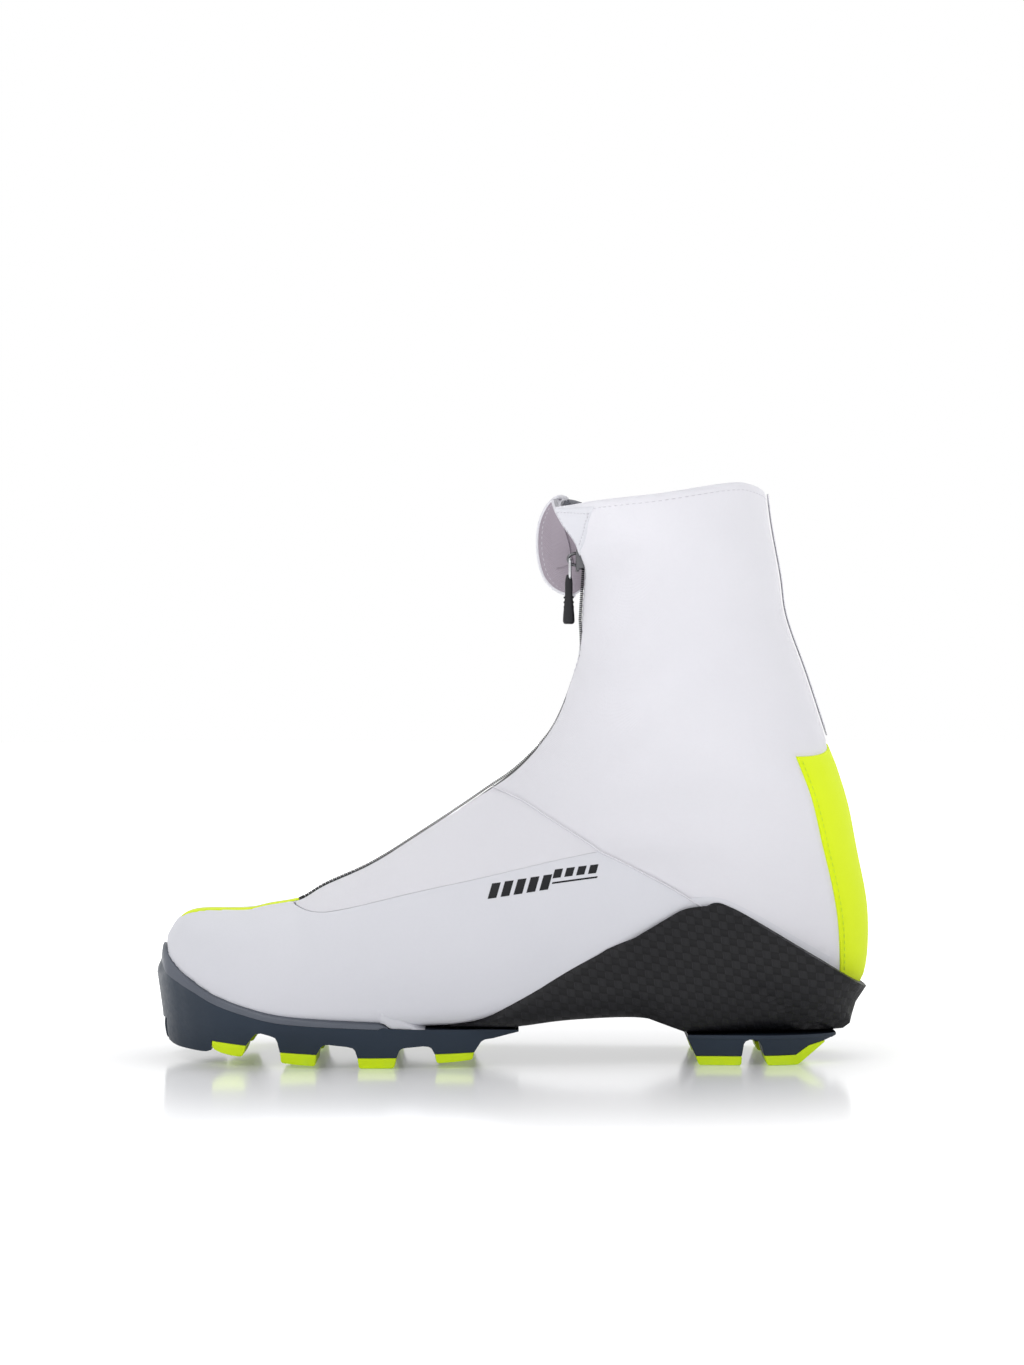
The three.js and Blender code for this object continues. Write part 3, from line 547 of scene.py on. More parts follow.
def fabric(name, light, dark, weave, roughness=0.8, sheen=0.25, thread=0.45, slub=0.35):
    """A woven cloth: fine crossed threads, a slow change of shade and a little sheen."""
    cloth = Finish(name, Roughness=roughness, Sheen_Weight=sheen, Sheen_Roughness=0.5,
        Specular_IOR_Level=0.3)
    x, y, z = cloth.axes()
    pitch = FULL_TURN / (thread * MM)
    wave = ((x + y) * pitch).math("SINE") * ((z + y * 0.5) * pitch).math("SINE")
    grain = cloth.noise(900.0, 3.0)
    patches = cloth.noise(14.0, 3.0)
    tone = (patches.smoothstep(0.35, 0.7) * slub + grain * 0.3).clamped()
    cloth.colour(cloth.blend(tone, light, dark))
    cloth.roughness(roughness + (grain - 0.5) * 0.15)
    cloth.bump(wave * 0.5 + grain * 0.8, weave)
    return cloth.material


def moulded(name, light, dark, roughness=0.5, relief=0.04, worn=None):
    """A moulded rubber or plastic with a spark-eroded grain, scuffed near the ground when worn is given."""
    plastic = Finish(name, Roughness=roughness, Specular_IOR_Level=0.28)
    grain = plastic.noise(500.0, 4.0)
    cloud = plastic.noise(25.0, 2.0)
    base = plastic.blend(cloud.smoothstep(0.3, 0.75), light, dark)
    if worn:
        z = plastic.axes()[2]
        scuff = (1.0 - z.smoothstep(0.0, 0.006)) * plastic.noise(180.0, 5.0).smoothstep(0.45, 0.7)
        base = plastic.blend(scuff * 0.5, base, worn)
    plastic.colour(base)
    plastic.roughness(roughness + (grain - 0.5) * 0.3)
    plastic.bump(grain, relief)
    return plastic.material


def carbon_cloth():
    """A coarse flat weave of carbon tows under a thin clear coat, with highlight painted on the tows' crowns
    and edges.
    """
    weave = Finish("carbon_weave", Roughness=0.4, Coat_Weight=0.05, Coat_Roughness=0.2,
        Specular_IOR_Level=0.22)
    x, y, z = weave.axes()
    turn_start = 0.100
    turn_radius = 0.035
    beyond = (x - turn_start).math("MAXIMUM", 0.0)
    round_back = beyond.math("ARCTAN2", y.math("ABSOLUTE")) * turn_radius
    across = x.math("MINIMUM", turn_start) + round_back
    tow = 0.0031
    pick = 0.0029
    u = (across + z * 0.12) / tow
    under = (y.math("ABSOLUTE").math("MINIMUM", 0.029) - 0.029) * (1.0 - x.smoothstep(0.085, 0.105))
    v = (z + under + across * 0.16) / pick
    column = u.math("FLOOR")
    row = v.math("FLOOR")
    over = ((column + row) * 0.5).math("FRACT") * 2.0
    warp = (u.math("FRACT") * math.pi).math("SINE")
    weft = (v.math("FRACT") * math.pi).math("SINE")
    height = warp * over + weft * (1.0 - over)
    fibre = (u * FULL_TURN * 14.0).math("SINE") * over + (v * FULL_TURN * 12.0).math("SINE") * (1.0 - over)
    # A lighter line along each over tow's edge: a painted highlight.
    edge = (1.0 - u.math("FRACT").smoothstep(0.0, 0.1)) * over * weft.smoothstep(0.1, 0.5)
    # The checker of over and under tows is the weave's own pattern; the lighter crowns (height) and edges are
    # painted highlight.
    shade = (over * 0.14 + height * 0.1 + edge * 0.5 + fibre * 0.02).clamped()
    weave.colour(weave.blend(shade, srgb(10, 10, 13), srgb(50, 50, 55)))
    weave.roughness(0.5 - over * 0.1 + weave.noise(60.0) * 0.1)
    weave.bump(height + fibre * 0.08, 0.25)
    return weave.material


def plain_metal(name, colour, roughness):
    metal = Finish(name, Metallic=1.0, Roughness=roughness)
    streaks = metal.noise(220.0, 3.0, vector=metal.stretched(1.0, 1.0, 14.0))
    metal.colour(metal.blend(streaks, colour, tuple(c * 0.75 for c in colour)))
    metal.roughness(roughness + (streaks - 0.5) * 0.2)
    metal.bump(streaks, 0.01)
    return metal.material


COVER_CLOTH = fabric("softshell", srgb(226, 225, 230), srgb(218, 217, 223), 0.05, thread=0.5)
OVERLAY_CLOTH = fabric("coated_overlay", srgb(219, 219, 225), srgb(210, 211, 217), 0.02, roughness=0.62,
    sheen=0.15)
HOOKS = fabric("hook_pad", srgb(158, 148, 158), srgb(142, 132, 143), 0.03, thread=1.6)
FLAP_LINING = fabric("flap_lining", srgb(160, 150, 160), srgb(138, 127, 139), 0.08, thread=0.6)
NEON_WEBBING = fabric("neon_webbing", srgb(224, 244, 5), srgb(214, 236, 3), 0.06, sheen=0.05, thread=0.9,
    slub=0.15)
BLACK_TAPE = fabric("black_tape", srgb(38, 38, 42), srgb(24, 24, 27), 0.12, thread=0.8)
LINER_FLEECE = fabric("liner_fleece", srgb(120, 120, 128), srgb(92, 92, 100), 0.25, roughness=0.95,
    thread=1.1)
BOARD = fabric("fibre_board", srgb(190, 172, 138), srgb(160, 142, 110), 0.05, sheen=0.0)
STIFFENER = moulded("stiffener_sheet", srgb(205, 205, 205), srgb(180, 180, 180))
SLATE = moulded("slate_rubber", srgb(38, 51, 66), srgb(31, 43, 57), 0.42, worn=srgb(84, 92, 104))
NEON_RUBBER = moulded("neon_rubber", srgb(224, 250, 8), srgb(212, 243, 5), 0.5, worn=srgb(196, 232, 64))
# The rand's grey is lighter than the slate: a painted highlight on the sole's rounded top edge.
RAND_HIGHLIGHT_RUBBER = moulded("rand_rubber_painted_highlight", srgb(96, 101, 111), srgb(84, 89, 99), 0.42, relief=0.03)
NEON_THREAD = fabric("neon_thread", srgb(206, 232, 20), srgb(196, 222, 10), 0.03, thread=0.3)
CARBON = carbon_cloth()
BLACK_PLASTIC = moulded("black_plastic", srgb(30, 30, 33), srgb(20, 20, 22), 0.4)
GRIP_RUBBER = moulded("grip_rubber", srgb(34, 34, 37), srgb(24, 24, 27), 0.55, relief=0.08)
PRINT_INK = moulded("print_ink", srgb(14, 15, 21), srgb(10, 11, 16), 0.35, relief=0.01)
THREAD = fabric("thread", srgb(214, 212, 219), srgb(196, 194, 202), 0.05, thread=0.3)
STEEL = plain_metal("satin_steel", (0.62, 0.63, 0.65), 0.3)
GUNMETAL = plain_metal("gunmetal", (0.16, 0.16, 0.17), 0.35)


def finish_piece(piece, body, slot, *nodes):
    """Gives a piece its body and hides the CAD nodes that it stands for; the slot is not used."""
    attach(piece, body)
    if nodes:
        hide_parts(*nodes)
    return piece


# ---------------------------------------------------------------- seams
COLLAR = spline(places([
    (-2, 94.3), (1, 95), (6.7, 96), (10.5, 96.7), (20, 97.8), (29.5, 99.9), (32.7, 100), (36.4, 98.6),
    (40, 97)]), 40)
OVERLAY_SEAM = spline(places([
    (-31.5, 22.4), (-25.6, 21), (-13.1, 24.8), (-3.1, 27.7), (6.1, 30.5), (11.9, 32.1)]), 40)
GAITER_UPPER = spline(places([(-5.6, 45), (0.8, 41.7), (5.4, 37.8), (10.1, 33.9), (11.9, 32.1)]), 24)
GAITER_LOWER = spline(places([(11.9, 32.1), (16.1, 29.4), (23.6, 23.9), (29, 18), (33, 6), (34, 2)]), 30)
STRAP_EDGE = spline(places([
    (38.9, 49.5), (41.2, 41.4), (42.9, 32.1), (44.1, 25.2), (44.9, 18.8), (45.2, 12), (45.2, 8)]), 30)
CUP_TOP = spline(spots([
    (-12.5, 15.2), (-9, 15.9), (-1.7, 20.2), (7.3, 35.1), (16.4, 50.4), (20.9, 57.9), (23.0, 61.2),
    (25.2, 62.5),
    (27.3, 62.6), (29.3, 61.2), (31.5, 58.2), (34.5, 53.6), (44.8, 36.3), (49.1, 29.9)]), 90)
RAND_TOP = spline(spots([
    (-48.56, 44.4), (-47.9, 42), (-46.7, 38.4), (-45.4, 35.6), (-42.9, 31.3), (-40.1, 27.3), (-36, 23.6),
    (-31.9, 20.9), (-27.2, 19.6), (-22, 18.7), (-18.2, 18.1), (-17.3, 17.6), (-16.4, 15.8), (-15.2, 15.4),
    (-12, 15.2),
    (-3.8, 14.9), (0.9, 14.2)]), 160)
SIDES = {"lateral": -1, "medial": 1}
ZIP_START = float(station_of(along(-29.7), up(22.4)))
STRIP_START = float(station_of(along(-46.5), up(18.8)))
SLOT = smooth_rows([(0, 4.8), (1.3, 4.8), (1.6, 4.3), (1.72, 3.2), (1.9, 3.2), (1.98, 4.9), (2.1, 5.5),
    (3, 6.4)])


def sill(x):
    """How low the cover reaches, a little behind the rand's top and the cup's."""
    rand = np.interp(x, RAND_TOP[:, 0], RAND_TOP[:, 1]) - 1.0
    cup = np.interp(x, CUP_TOP[:, 0], CUP_TOP[:, 1]) - 3.0
    return np.where(x < along(-9), rand, np.maximum(cup, 12.8))


def collar_station(turn):
    """The station at which the collar's edge crosses each turn; its medial front corner stands higher."""
    stations = np.linspace(2.6, 3, 60)
    out = []
    for value in np.atleast_1d(turn):
        points = last_points(stations, value, 0.0)
        corner = CORNER_RISE * math.exp(-(((value - 0.25) / 0.4) ** 2)) if value > 0 else 0.0
        over = points[:, 2] - corner - np.interp(points[:, 0], COLLAR[:, 0], COLLAR[:, 1])
        out.append(np.interp(0, over, stations))
    return np.array(out)


def ridge(points, centre, length, width, tilt, height):
    """One soft fold, seen from the side: its middle, half length, half width, tilt in degrees and height."""
    x, _, z = points.T
    c, s = math.cos(math.radians(tilt)), math.sin(math.radians(tilt))
    u = (x - centre[0]) * c + (z - centre[1]) * s
    v = -(x - centre[0]) * s + (z - centre[1]) * c
    return height * np.exp(-((u / length) ** 2) - (v / width) ** 2)


FOLDS = (
    ((62, 100), 36, 7, 4, 1.3), ((66, 87), 32, 5.5, 0, -1.5), ((60, 76), 26, 5, -8, 0.9),
    ((92, 92), 16, 6, -14, 0.7),
    ((44, 120), 30, 8, 38, 0.9), ((58, 140), 26, 7, 44, -0.9), ((66, 158), 32, 8, 50, 0.8),
    ((48, 180), 26, 7, 54, -0.8),
    ((75, 186), 28, 8, 52, 0.6), ((42, 202), 18, 8, 42, -0.6), ((92, 122), 22, 7, -32, 0.6),
    ((96, 150), 22, 8, -40, -0.5),
    ((-10, 54), 40, 9, 12, -0.7), ((-30, 38), 34, 8, 9, 0.5), ((-70, 40), 30, 8, 5, 0.5),
    ((-98, 42), 16, 8, -10, -0.5),
    ((20, 56), 26, 6, 28, 0.5), ((108, 74), 14, 7, -52, 0.5))


def folds(points):
    """Soft folds that walking leaves at the ankle and across the forefoot, less on the medial side."""
    waves = sum(ridge(points, *fold) for fold in FOLDS)
    fade = np.clip((points[:, 2] - sill(points[:, 0]) - 3) / 9, 0, 1)
    return waves * fade * np.where(points[:, 1] < 0, 1.0, 0.75)


def flare(points):
    """How far the collar's open front corners stand forward."""
    rise = np.interp(points[:, 2], [191.5, 195, 198, 201, 206, 212, 219],
        [0, 0.12, 0.38, 0.62, 0.76, 0.88, 1.0])
    near = np.exp(-(np.clip(np.abs(points[:, 1]) - 5, 0, None) / 9) ** 2) * (points[:, 0] < 60)
    return COLLAR_OPEN * rise * near


def worn_shape(points):
    """How far the worn cover stands off the last's own form."""
    return folds(points) + flare(points)


def zip_shape(points):
    """The zip follows the cover, and opens forward a little above the slider's place."""
    return folds(points) + flare(points) * 0.1 * np.clip((points[:, 2] - 206) / 10, 0, 1)


def crest_edge(stations, half, side):
    """A line that keeps half a width from the boot's middle line on one side."""
    return np.stack([stations, turn_at_y(stations, side * half)], -1)


def clear_of_slot(line):
    """The part of a seam that lies outside the zip's slot."""
    apart = np.abs(last_points(line[:, 0], line[:, 1], 0.0)[:, 1])
    return line[apart > SLOT(line[:, 0]) + 0.5]


# ---------------------------------------------------------------- cover
def sill_line(x_from, x_to, steps, side, offset):
    x = np.linspace(x_from, x_to, steps)
    return side_line(np.stack([x, sill(x)], -1), side, offset)


def above_sill(line):
    """The part of a seam that the rand and the cup leave in view."""
    return line[line[:, 1] > sill(line[:, 0])]


def make_vamp(label, side):
    tip = crest_edge(np.linspace(0.004, STRIP_START, 10), 0.0, side)
    tip[:, 1] = tip[:, 1] * np.linspace(0, 1, 10) ** 2 + side * 0.004
    stations = np.linspace(STRIP_START, ZIP_START - 0.016, 60)[1:]
    toe = crest_edge(stations,
        (TOE_STRIP_HALF + 0.15) * np.minimum(1, 0.3 + (stations - STRIP_START) * 9), side)
    seam = above_sill(GAITER_LOWER[1:])
    rand = sill_line(seam[-1, 0], along(-48.6), 150, side, OVERLAY_LIFT)
    outline = [tip, toe, side_line(OVERLAY_SEAM[2:], side, OVERLAY_LIFT),
        side_line(seam, side, OVERLAY_LIFT), rand]
    piece = skin("vamp_skin_" + label, np.vstack(outline), OVERLAY_LIFT, COVER + OVERLAY_LIFT,
        OVERLAY_CLOTH,
                 roll=1.2, drop=0.55, bend=folds)
    return finish_piece(piece, "boot", "overlay_fabric", "vamp_panel_" + label)


def make_instep(label, side):
    first = float(station_of(*GAITER_UPPER[0]))
    crest = np.linspace(first - 0.004, ZIP_START + 0.004, 40)
    outline = [crest_edge(crest, SLOT(crest), side), side_line(OVERLAY_SEAM[2:], side)]
    outline.append(clear_of_slot(side_line(GAITER_UPPER[::-1][1:], side)))
    piece = skin("instep_skin_" + label, np.vstack(outline), 0.0, COVER, COVER_CLOTH, roll=1.0, drop=0.3,
        bend=folds)
    return finish_piece(piece, "boot", "cover_fabric", "instep_panel_" + label)


BACK_LOW = float(station_of(along(44.3), up(51.6)))


def make_shaft(label, side):
    first = float(station_of(*GAITER_UPPER[0]))
    top_turns = np.linspace(float(turn_at_y(2.93, side * SLOT(2.93))), side * BACK_EDGE, 50)
    top = np.stack([collar_station(top_turns), top_turns], -1)
    crest = np.linspace(first, top[0, 0], 80)[:-1]
    back = np.linspace(top[-1, 0], BACK_LOW, 40)[1:]
    strap = above_sill(STRAP_EDGE)
    seam = above_sill(GAITER_LOWER)
    outline = [crest_edge(crest, SLOT(crest), side), top]
    outline.append(np.stack([back, np.full(39, side * BACK_EDGE)], -1))
    outline.append(side_line(strap, side))
    outline.append(sill_line(strap[-1, 0], seam[-1, 0], 40, side, 0.0)[1:])
    outline.append(side_line(seam[::-1][1:], side))
    outline.append(clear_of_slot(side_line(GAITER_UPPER[::-1][1:], side)))
    piece = skin("shaft_skin_" + label, np.vstack(outline), 0.0, COVER, COVER_CLOTH, roll=1.2, drop=0.5,
        bend=worn_shape)
    return finish_piece(piece, "boot", "cover_fabric", "shaft_panel_" + label)


def make_heel_strip():
    medial = side_line(above_sill(STRAP_EDGE), 1)
    lateral = medial[::-1].copy()
    lateral[:, 1] = FULL_TURN - lateral[:, 1]
    bottom = np.array([[float(station_of(along(49.4), 24.0)), math.pi]])
    outline = np.vstack([medial, bottom, lateral, [[BACK_LOW, math.pi]]])
    piece = skin("heel_strip_band", outline, 0.7, COVER + 0.7, NEON_WEBBING, roll=1.0, drop=0.5)
    finish_piece(piece, "boot", "neon_webbing", "heel_strip")
    inset = medial.copy()
    inset[:, 1] += 0.035
    for label, line in (("medial", inset),
        ("lateral", np.stack([inset[:, 0], FULL_TURN - inset[:, 1]], -1))):
        row = stitch_row("heel_strip_stitches_" + label, line, 0.72, 2.6, 1.7, 0.2, NEON_THREAD)
        finish_piece(row, "boot", "neon_webbing")


def make_toe_strip():
    stations = np.linspace(STRIP_START + 0.004, ZIP_START - 0.006, 40)
    taper = TOE_STRIP_HALF * np.minimum(1, 0.45 + np.arange(40) / 8)
    outline = np.vstack([crest_edge(stations, taper, -1), crest_edge(stations, taper, 1)[::-1]])
    piece = skin("toe_strip_band", outline, 0.5, COVER + 0.3, NEON_WEBBING, spacing=1.0, roll=0.8,
        drop=0.4, bend=folds)
    return finish_piece(piece, "boot", "neon_webbing", "toe_strip")


def make_cup():
    half = side_line(CUP_TOP[CUP_TOP[:, 0] < along(45)], 1, CUP_OUT, True)
    back_turn = np.linspace(half[-1, 1], math.pi, 24)[1:]
    share = (back_turn - half[-1, 1]) / (math.pi - half[-1, 1])
    start = half[-1, 0]
    stop = float(station_of(along(49.2), 29.4))
    medial = np.vstack([half, np.stack([start + (stop - start) * share, back_turn], -1)])
    lateral = medial[::-1][1:].copy()
    lateral[:, 1] = FULL_TURN - lateral[:, 1]
    piece = skin("carbon_cup", np.vstack([medial, lateral]), CUP_OUT, CUP_THICKNESS, CARBON, spacing=1.5,
        roll=0.8,
                 drop=0.35, cup=True)
    return finish_piece(piece, "boot", "carbon_weave", "carbon_chassis")


def make_seam_welts():
    """Bonded ridges along the gaiter's seam and above the cup's rear edge."""
    for label, side in SIDES.items():
        seam = np.vstack([GAITER_UPPER[1:], above_sill(GAITER_LOWER)[1:]])
        line = clear_of_slot(side_line(seam, side, 0.3))
        lift = folds(last_points(line[:, 0], line[:, 1], 0.22))
        points = last_points(line[:, 0], line[:, 1], 0.22 + lift)
        finish_piece(tube("gaiter_welt_" + label, points, WELT_RADIUS, COVER_CLOTH), "boot", "cover_fabric")
        rear = CUP_TOP[(CUP_TOP[:, 0] > along(24)) & (CUP_TOP[:, 0] < along(44.4))]
        low = side_line(rear - [0.5, 1.5], side, 0.4)
        high = side_line((rear + [0.6, 3.2])[::-1], side, 0.4)
        piece = skin("cup_bond_" + label, np.vstack([low, high]), 0.32, 0.6, OVERLAY_CLOTH, roll=0.8,
            drop=0.25, bend=folds)
        finish_piece(piece, "boot", "overlay_fabric")


def make_back_seam():
    """A narrow bonded tape over the seam at the back."""
    high = float(collar_station(math.pi)[0]) - 0.006
    back = np.linspace(BACK_LOW + 0.01, high, 40)
    edges = [np.stack([back, np.full(40, math.pi + apart)], -1) for apart in (-0.05, 0.05)]
    outline = np.vstack([edges[0], edges[1][::-1]])
    piece = skin("back_seam_tape", outline, COVER - 0.1, 0.4, COVER_CLOTH, spacing=1.0, roll=0.8,
        drop=0.3, bend=worn_shape)
    finish_piece(piece, "boot", "cover_fabric")


def make_collar_tab():
    """The sewn triangle that strengthens the collar's front corner on the lateral side."""
    low = float(station_of(along(9), 199.5))
    top = float(collar_station(-0.16)[0]) - 0.012
    stations = np.linspace(low, top, 14)
    front = crest_edge(stations, SLOT(stations) + 0.5, -1)
    corner = side_line([(32.0, 217.6)], -1)
    piece = skin("collar_tab", np.vstack([front, corner]), 0.55, 0.6, OVERLAY_CLOTH, spacing=1.1,
        roll=0.8, drop=0.35,
                 bend=worn_shape)
    finish_piece(piece, "boot", "overlay_fabric", "collar_corner_patch")
    inner = crest_edge(stations[2:-1], SLOT(stations[2:-1]) + 1.6, -1)
    back = np.array([front[1] + (corner[0] - front[1]) * k for k in (0.12, 0.5, 0.9)]) + [0.0, 0.012]
    across = np.array([inner[-1], back[-1] - [0.02, 0.0]])
    for label, line in (("front", inner), ("back", back), ("top", across)):
        finish_piece(stitch_row("tab_stitches_" + label, line, 0.6, 2.0, 1.2, 0.2, THREAD, worn_shape),
            "boot",
                     "overlay_fabric")
    for label, side in SIDES.items():
        stations = np.linspace(1.86, low + 0.02, 40)
        line = crest_edge(stations, SLOT(stations) + 1.8, side)
        row = stitch_row("front_stitches_" + label, line, 0.03, 2.4, 1.4, 0.19, THREAD, worn_shape)
        finish_piece(row, "boot", "cover_fabric")


def make_collar_stitches():
    turns = np.linspace(0.3, FULL_TURN - 0.3, 120)
    turns = np.where(turns > math.pi, turns - FULL_TURN, turns)
    stations = collar_station(turns) - 0.05
    for label, keep in (("medial", turns > 0), ("lateral", turns < 0)):
        line = np.stack([stations[keep], turns[keep]], -1)
        finish_piece(stitch_row("collar_stitches_" + label, line, 0.02, 2.6, 1.5, 0.17, THREAD,
            worn_shape), "boot",
                     "cover_fabric")


def make_side_bars():
    """Plain slanted bars printed on the lateral quarter."""
    bars = [(-9.5 + 5.0 * k, 65.4 + 0.75 * k, 3.4, 5.8) for k in range(5)]
    bars += [(15.6 + 4.6 * k, 73.0 + 0.55 * k, 3.2, 3.4) for k in range(4)]
    bars += [(15.4, 70.9, 17.6, 0.7)]
    for number, (x, z, width, height) in enumerate(bars, 1):
        slope = 0.13 * width
        lean = 0.3 * height
        corners = [(x, z), (x + width, z + slope), (x + width + lean, z + slope + height),
            (x + lean, z + height)]
        line = side_line(resample(corners, 1.2, closed=True), -1, OVERLAY_LIFT)
        piece = skin(f"side_bar_{number}", line, OVERLAY_LIFT + 0.1, 0.3, PRINT_INK, spacing=1.2,
            roll=0.2, drop=0.04,
                     bend=folds)
        finish_piece(piece, "boot", "zip_plastic")


for label, side in SIDES.items():
    make_vamp(label, side)
    make_instep(label, side)
    make_shaft(label, side)
make_heel_strip()
make_toe_strip()
make_cup()
make_seam_welts()
make_back_seam()
make_collar_tab()
make_collar_stitches()
make_side_bars()


# ---------------------------------------------------------------- sole
SOLE_PLAN = np.array([(along(x), y) for x, y in (
    (-49.93, 5), (-49, -9), (-46.5, -22), (-41.5, -33), (-32, -43.1), (-22, -46.5), (-8, -44.5), (4, -36),
    (14, -34), (26, -36), (38, -36), (45.6, -24.5), (48.6, 0), (45.6, 24.5), (38, 36), (26, 36),
    (14, 33), (4, 35), (-8, 44), (-22, 47.5), (-32, 46), (-41.5, 37.5), (-46.5, 28), (-49, 17))])
TAPER = np.array([(-2, -6.2), (7, -4.6), (18, -2.4), (34.4, 0), (40, -2.4), (48, -6)])
RECESS_HALF = 8.0
RECESS_TOP = 16.0


def closed_spline(points, steps):
    """A centripetal closed curve through the points."""
    count = len(points)
    out = []
    for i in range(steps):
        k, t = divmod(i / steps * count, 1)
        p = [points[(int(k) + j) % count] for j in (-1, 0, 1, 2)]
        d = [np.linalg.norm(p[j + 1] - p[j]) ** 0.5 for j in range(3)]
        t1 = ((p[1] - p[0]) / d[0] - (p[2] - p[0]) / (d[0] + d[1]) + (p[2] - p[1]) / d[1]) * d[1]
        t2 = ((p[2] - p[1]) / d[1] - (p[3] - p[1]) / (d[1] + d[2]) + (p[3] - p[2]) / d[2]) * d[1]
        cubic = 2 * p[1] - 2 * p[2] + t1 + t2
        square = 3 * p[2] - 3 * p[1] - 2 * t1 - t2
        out.append(cubic * t**3 + square * t**2 + t1 * t + p[1])
    return np.array(out)


# The plan runs from the toe's tip along the lateral side to the heel and back along the medial side.
PLAN = closed_spline(SOLE_PLAN, 720)
PLAN = np.roll(PLAN, -int(np.argmin(PLAN[:, 0])), axis=0)
REAR = int(np.argmax(PLAN[:, 0]))
TANGENT = np.roll(PLAN, -1, axis=0) - np.roll(PLAN, 1, axis=0)
TANGENT /= np.linalg.norm(TANGENT, axis=1, keepdims=True)
OUTWARD = np.stack([TANGENT[:, 1], -TANGENT[:, 0]], -1)
if OUTWARD[0, 0] > 0:
    OUTWARD = -OUTWARD
LOOP = np.vstack([PLAN, PLAN[:1]])
OUT_LOOP = np.vstack([OUTWARD, OUTWARD[:1]])
ARC = np.concatenate([[0], np.cumsum(np.linalg.norm(np.diff(LOOP, axis=0), axis=1))])
GIRTH = ARC[-1]


# The wall swells to stay outside the cover along the forefoot.
SWELL = np.array([(along(x), y) for x, y in (
    (-46, 0.2), (-43, 1.4), (-40.5, 2.6), (-37.5, 3.6), (-34, 3.8), (-31, 3.3), (-27, 2.8), (-23, 2.1),
    (-19, 1.6), (-15, 0))])


def inset_at(x, z):
    swell = np.interp(x, SWELL[:, 0], SWELL[:, 1]) * np.clip((np.asarray(z, float) - 1) / 13, 0, 1)
    return np.interp(z, TAPER[:, 0], TAPER[:, 1]) + swell


def wall_points(way, z, extra=0.0):
    """Points on the sole's wall, by height and the way round from the toe, negative on the lateral side."""
    arc = (-np.asarray(way, float)) % GIRTH
    x = np.interp(arc, ARC, LOOP[:, 0])
    y = np.interp(arc, ARC, LOOP[:, 1])
    square = 1.6 * np.exp(-(np.asarray(way, float) / 20) ** 2) * np.clip((17 - np.asarray(z, float)) / 6,
        0, 1)
    inset = inset_at(x, z) + extra + square
    x = x + np.interp(arc, ARC, OUT_LOOP[:, 0]) * inset
    y = y + np.interp(arc, ARC, OUT_LOOP[:, 1]) * inset
    return np.stack([x, y, np.broadcast_to(z, x.shape)], -1)


def half_run(side, z):
    """One side's points at a height from tip to heel, and the way round to each."""
    points = LOOP + OUT_LOOP * inset_at(LOOP[:, 0], z)[:, None]
    if side < 0:
        return points[:REAR + 1], -ARC[:REAR + 1]
    return points[:REAR - 1:-1], GIRTH - ARC[:REAR - 1:-1]


def way_at(side, x, z):
    points, way = half_run(side, z)
    return float(np.interp(x, np.maximum.accumulate(points[:, 0]), way))


def wall_y(side, x, z):
    points, _ = half_run(side, z)
    return float(np.interp(x, np.maximum.accumulate(points[:, 0]), points[:, 1]))


def way_line(side, rows):
    return [(way_at(side, along(x), z), z) for x, z in rows]


def rand_top(x):
    return float(np.interp(x, RAND_TOP[:, 0], RAND_TOP[:, 1]))


def rand_height(x):
    """How far the rand's lower edge lies below its top."""
    rows = ((-49, 6.2), (-48, 5.0), (-46.5, 4.2), (-43, 3.5), (-36, 3.2), (-18.2, 2.7), (-16.6, 0.7),
        (0.9, 0.4))
    return np.interp(x, [along(r[0]) for r in rows], [r[1] for r in rows])


def crease_line(side):
    """Where the rand's slope meets the wall, as the way round and the height, with the rand's top points."""
    line = RAND_TOP[RAND_TOP[:, 0] < along(-16.9)]
    turns = side * turn_of(line[:, 0], line[:, 1], 0.6)
    turns[0] = 0.0
    stations = station_of(line[:, 0], line[:, 1])
    top = last_points(stations, turns, 1.15)
    ways = np.linspace(0, side * 190, 700)
    out = []
    for point, height in zip(top, line[:, 1] - rand_height(line[:, 0])):
        wall = wall_points(ways, height)
        gaps = np.hypot(wall[:, 0] - point[0], wall[:, 1] - point[1])
        out.append((ways[int(np.argmin(gaps))], height))
    out = np.array(out)
    out[0, 0] = 0.0
    out[:, 0] = side * np.maximum.accumulate(np.abs(out[:, 0]))
    return out, top, stations, turns


FRONT_LOW = (
    (0.9, 13.6), (-2.6, 11.3), (-3.7, 10.9), (-4.2, 10.1), (-5.15, 6.0), (-10.5, 5.6), (-10.9, 7.8),
    (-11.3, 8.5),
    (-12.1, 8.7), (-14.4, 8.1), (-15.0, 7.7), (-15.3, 6.8), (-15.66, 4.2), (-20.93, 4.2), (-21.25, 7.2),
    (-21.6, 8.2),
    (-22.4, 8.7), (-24.8, 9.5), (-25.5, 9.3), (-25.9, 8.4), (-26.5, 5.5), (-31.5, 6.2), (-31.8, 10.4),
    (-32.1, 12.0),
    (-32.8, 12.8), (-34.0, 13.7), (-34.7, 13.4), (-35.2, 12.2), (-36.2, 8.5), (-41.1, 9.6), (-41.2, 5.7),
    (-41.9, 5.0),
    (-42.6, 4.9), (-46.0, 5.7))
PLATE_LOW = np.array([
    (-41.6, 14.5), (-34, 14.3), (-30, 12.2), (-22, 10.6), (-14, 10.4), (-8, 10.8), (-2.6, 12.2),
    (0.4, 13.8)])
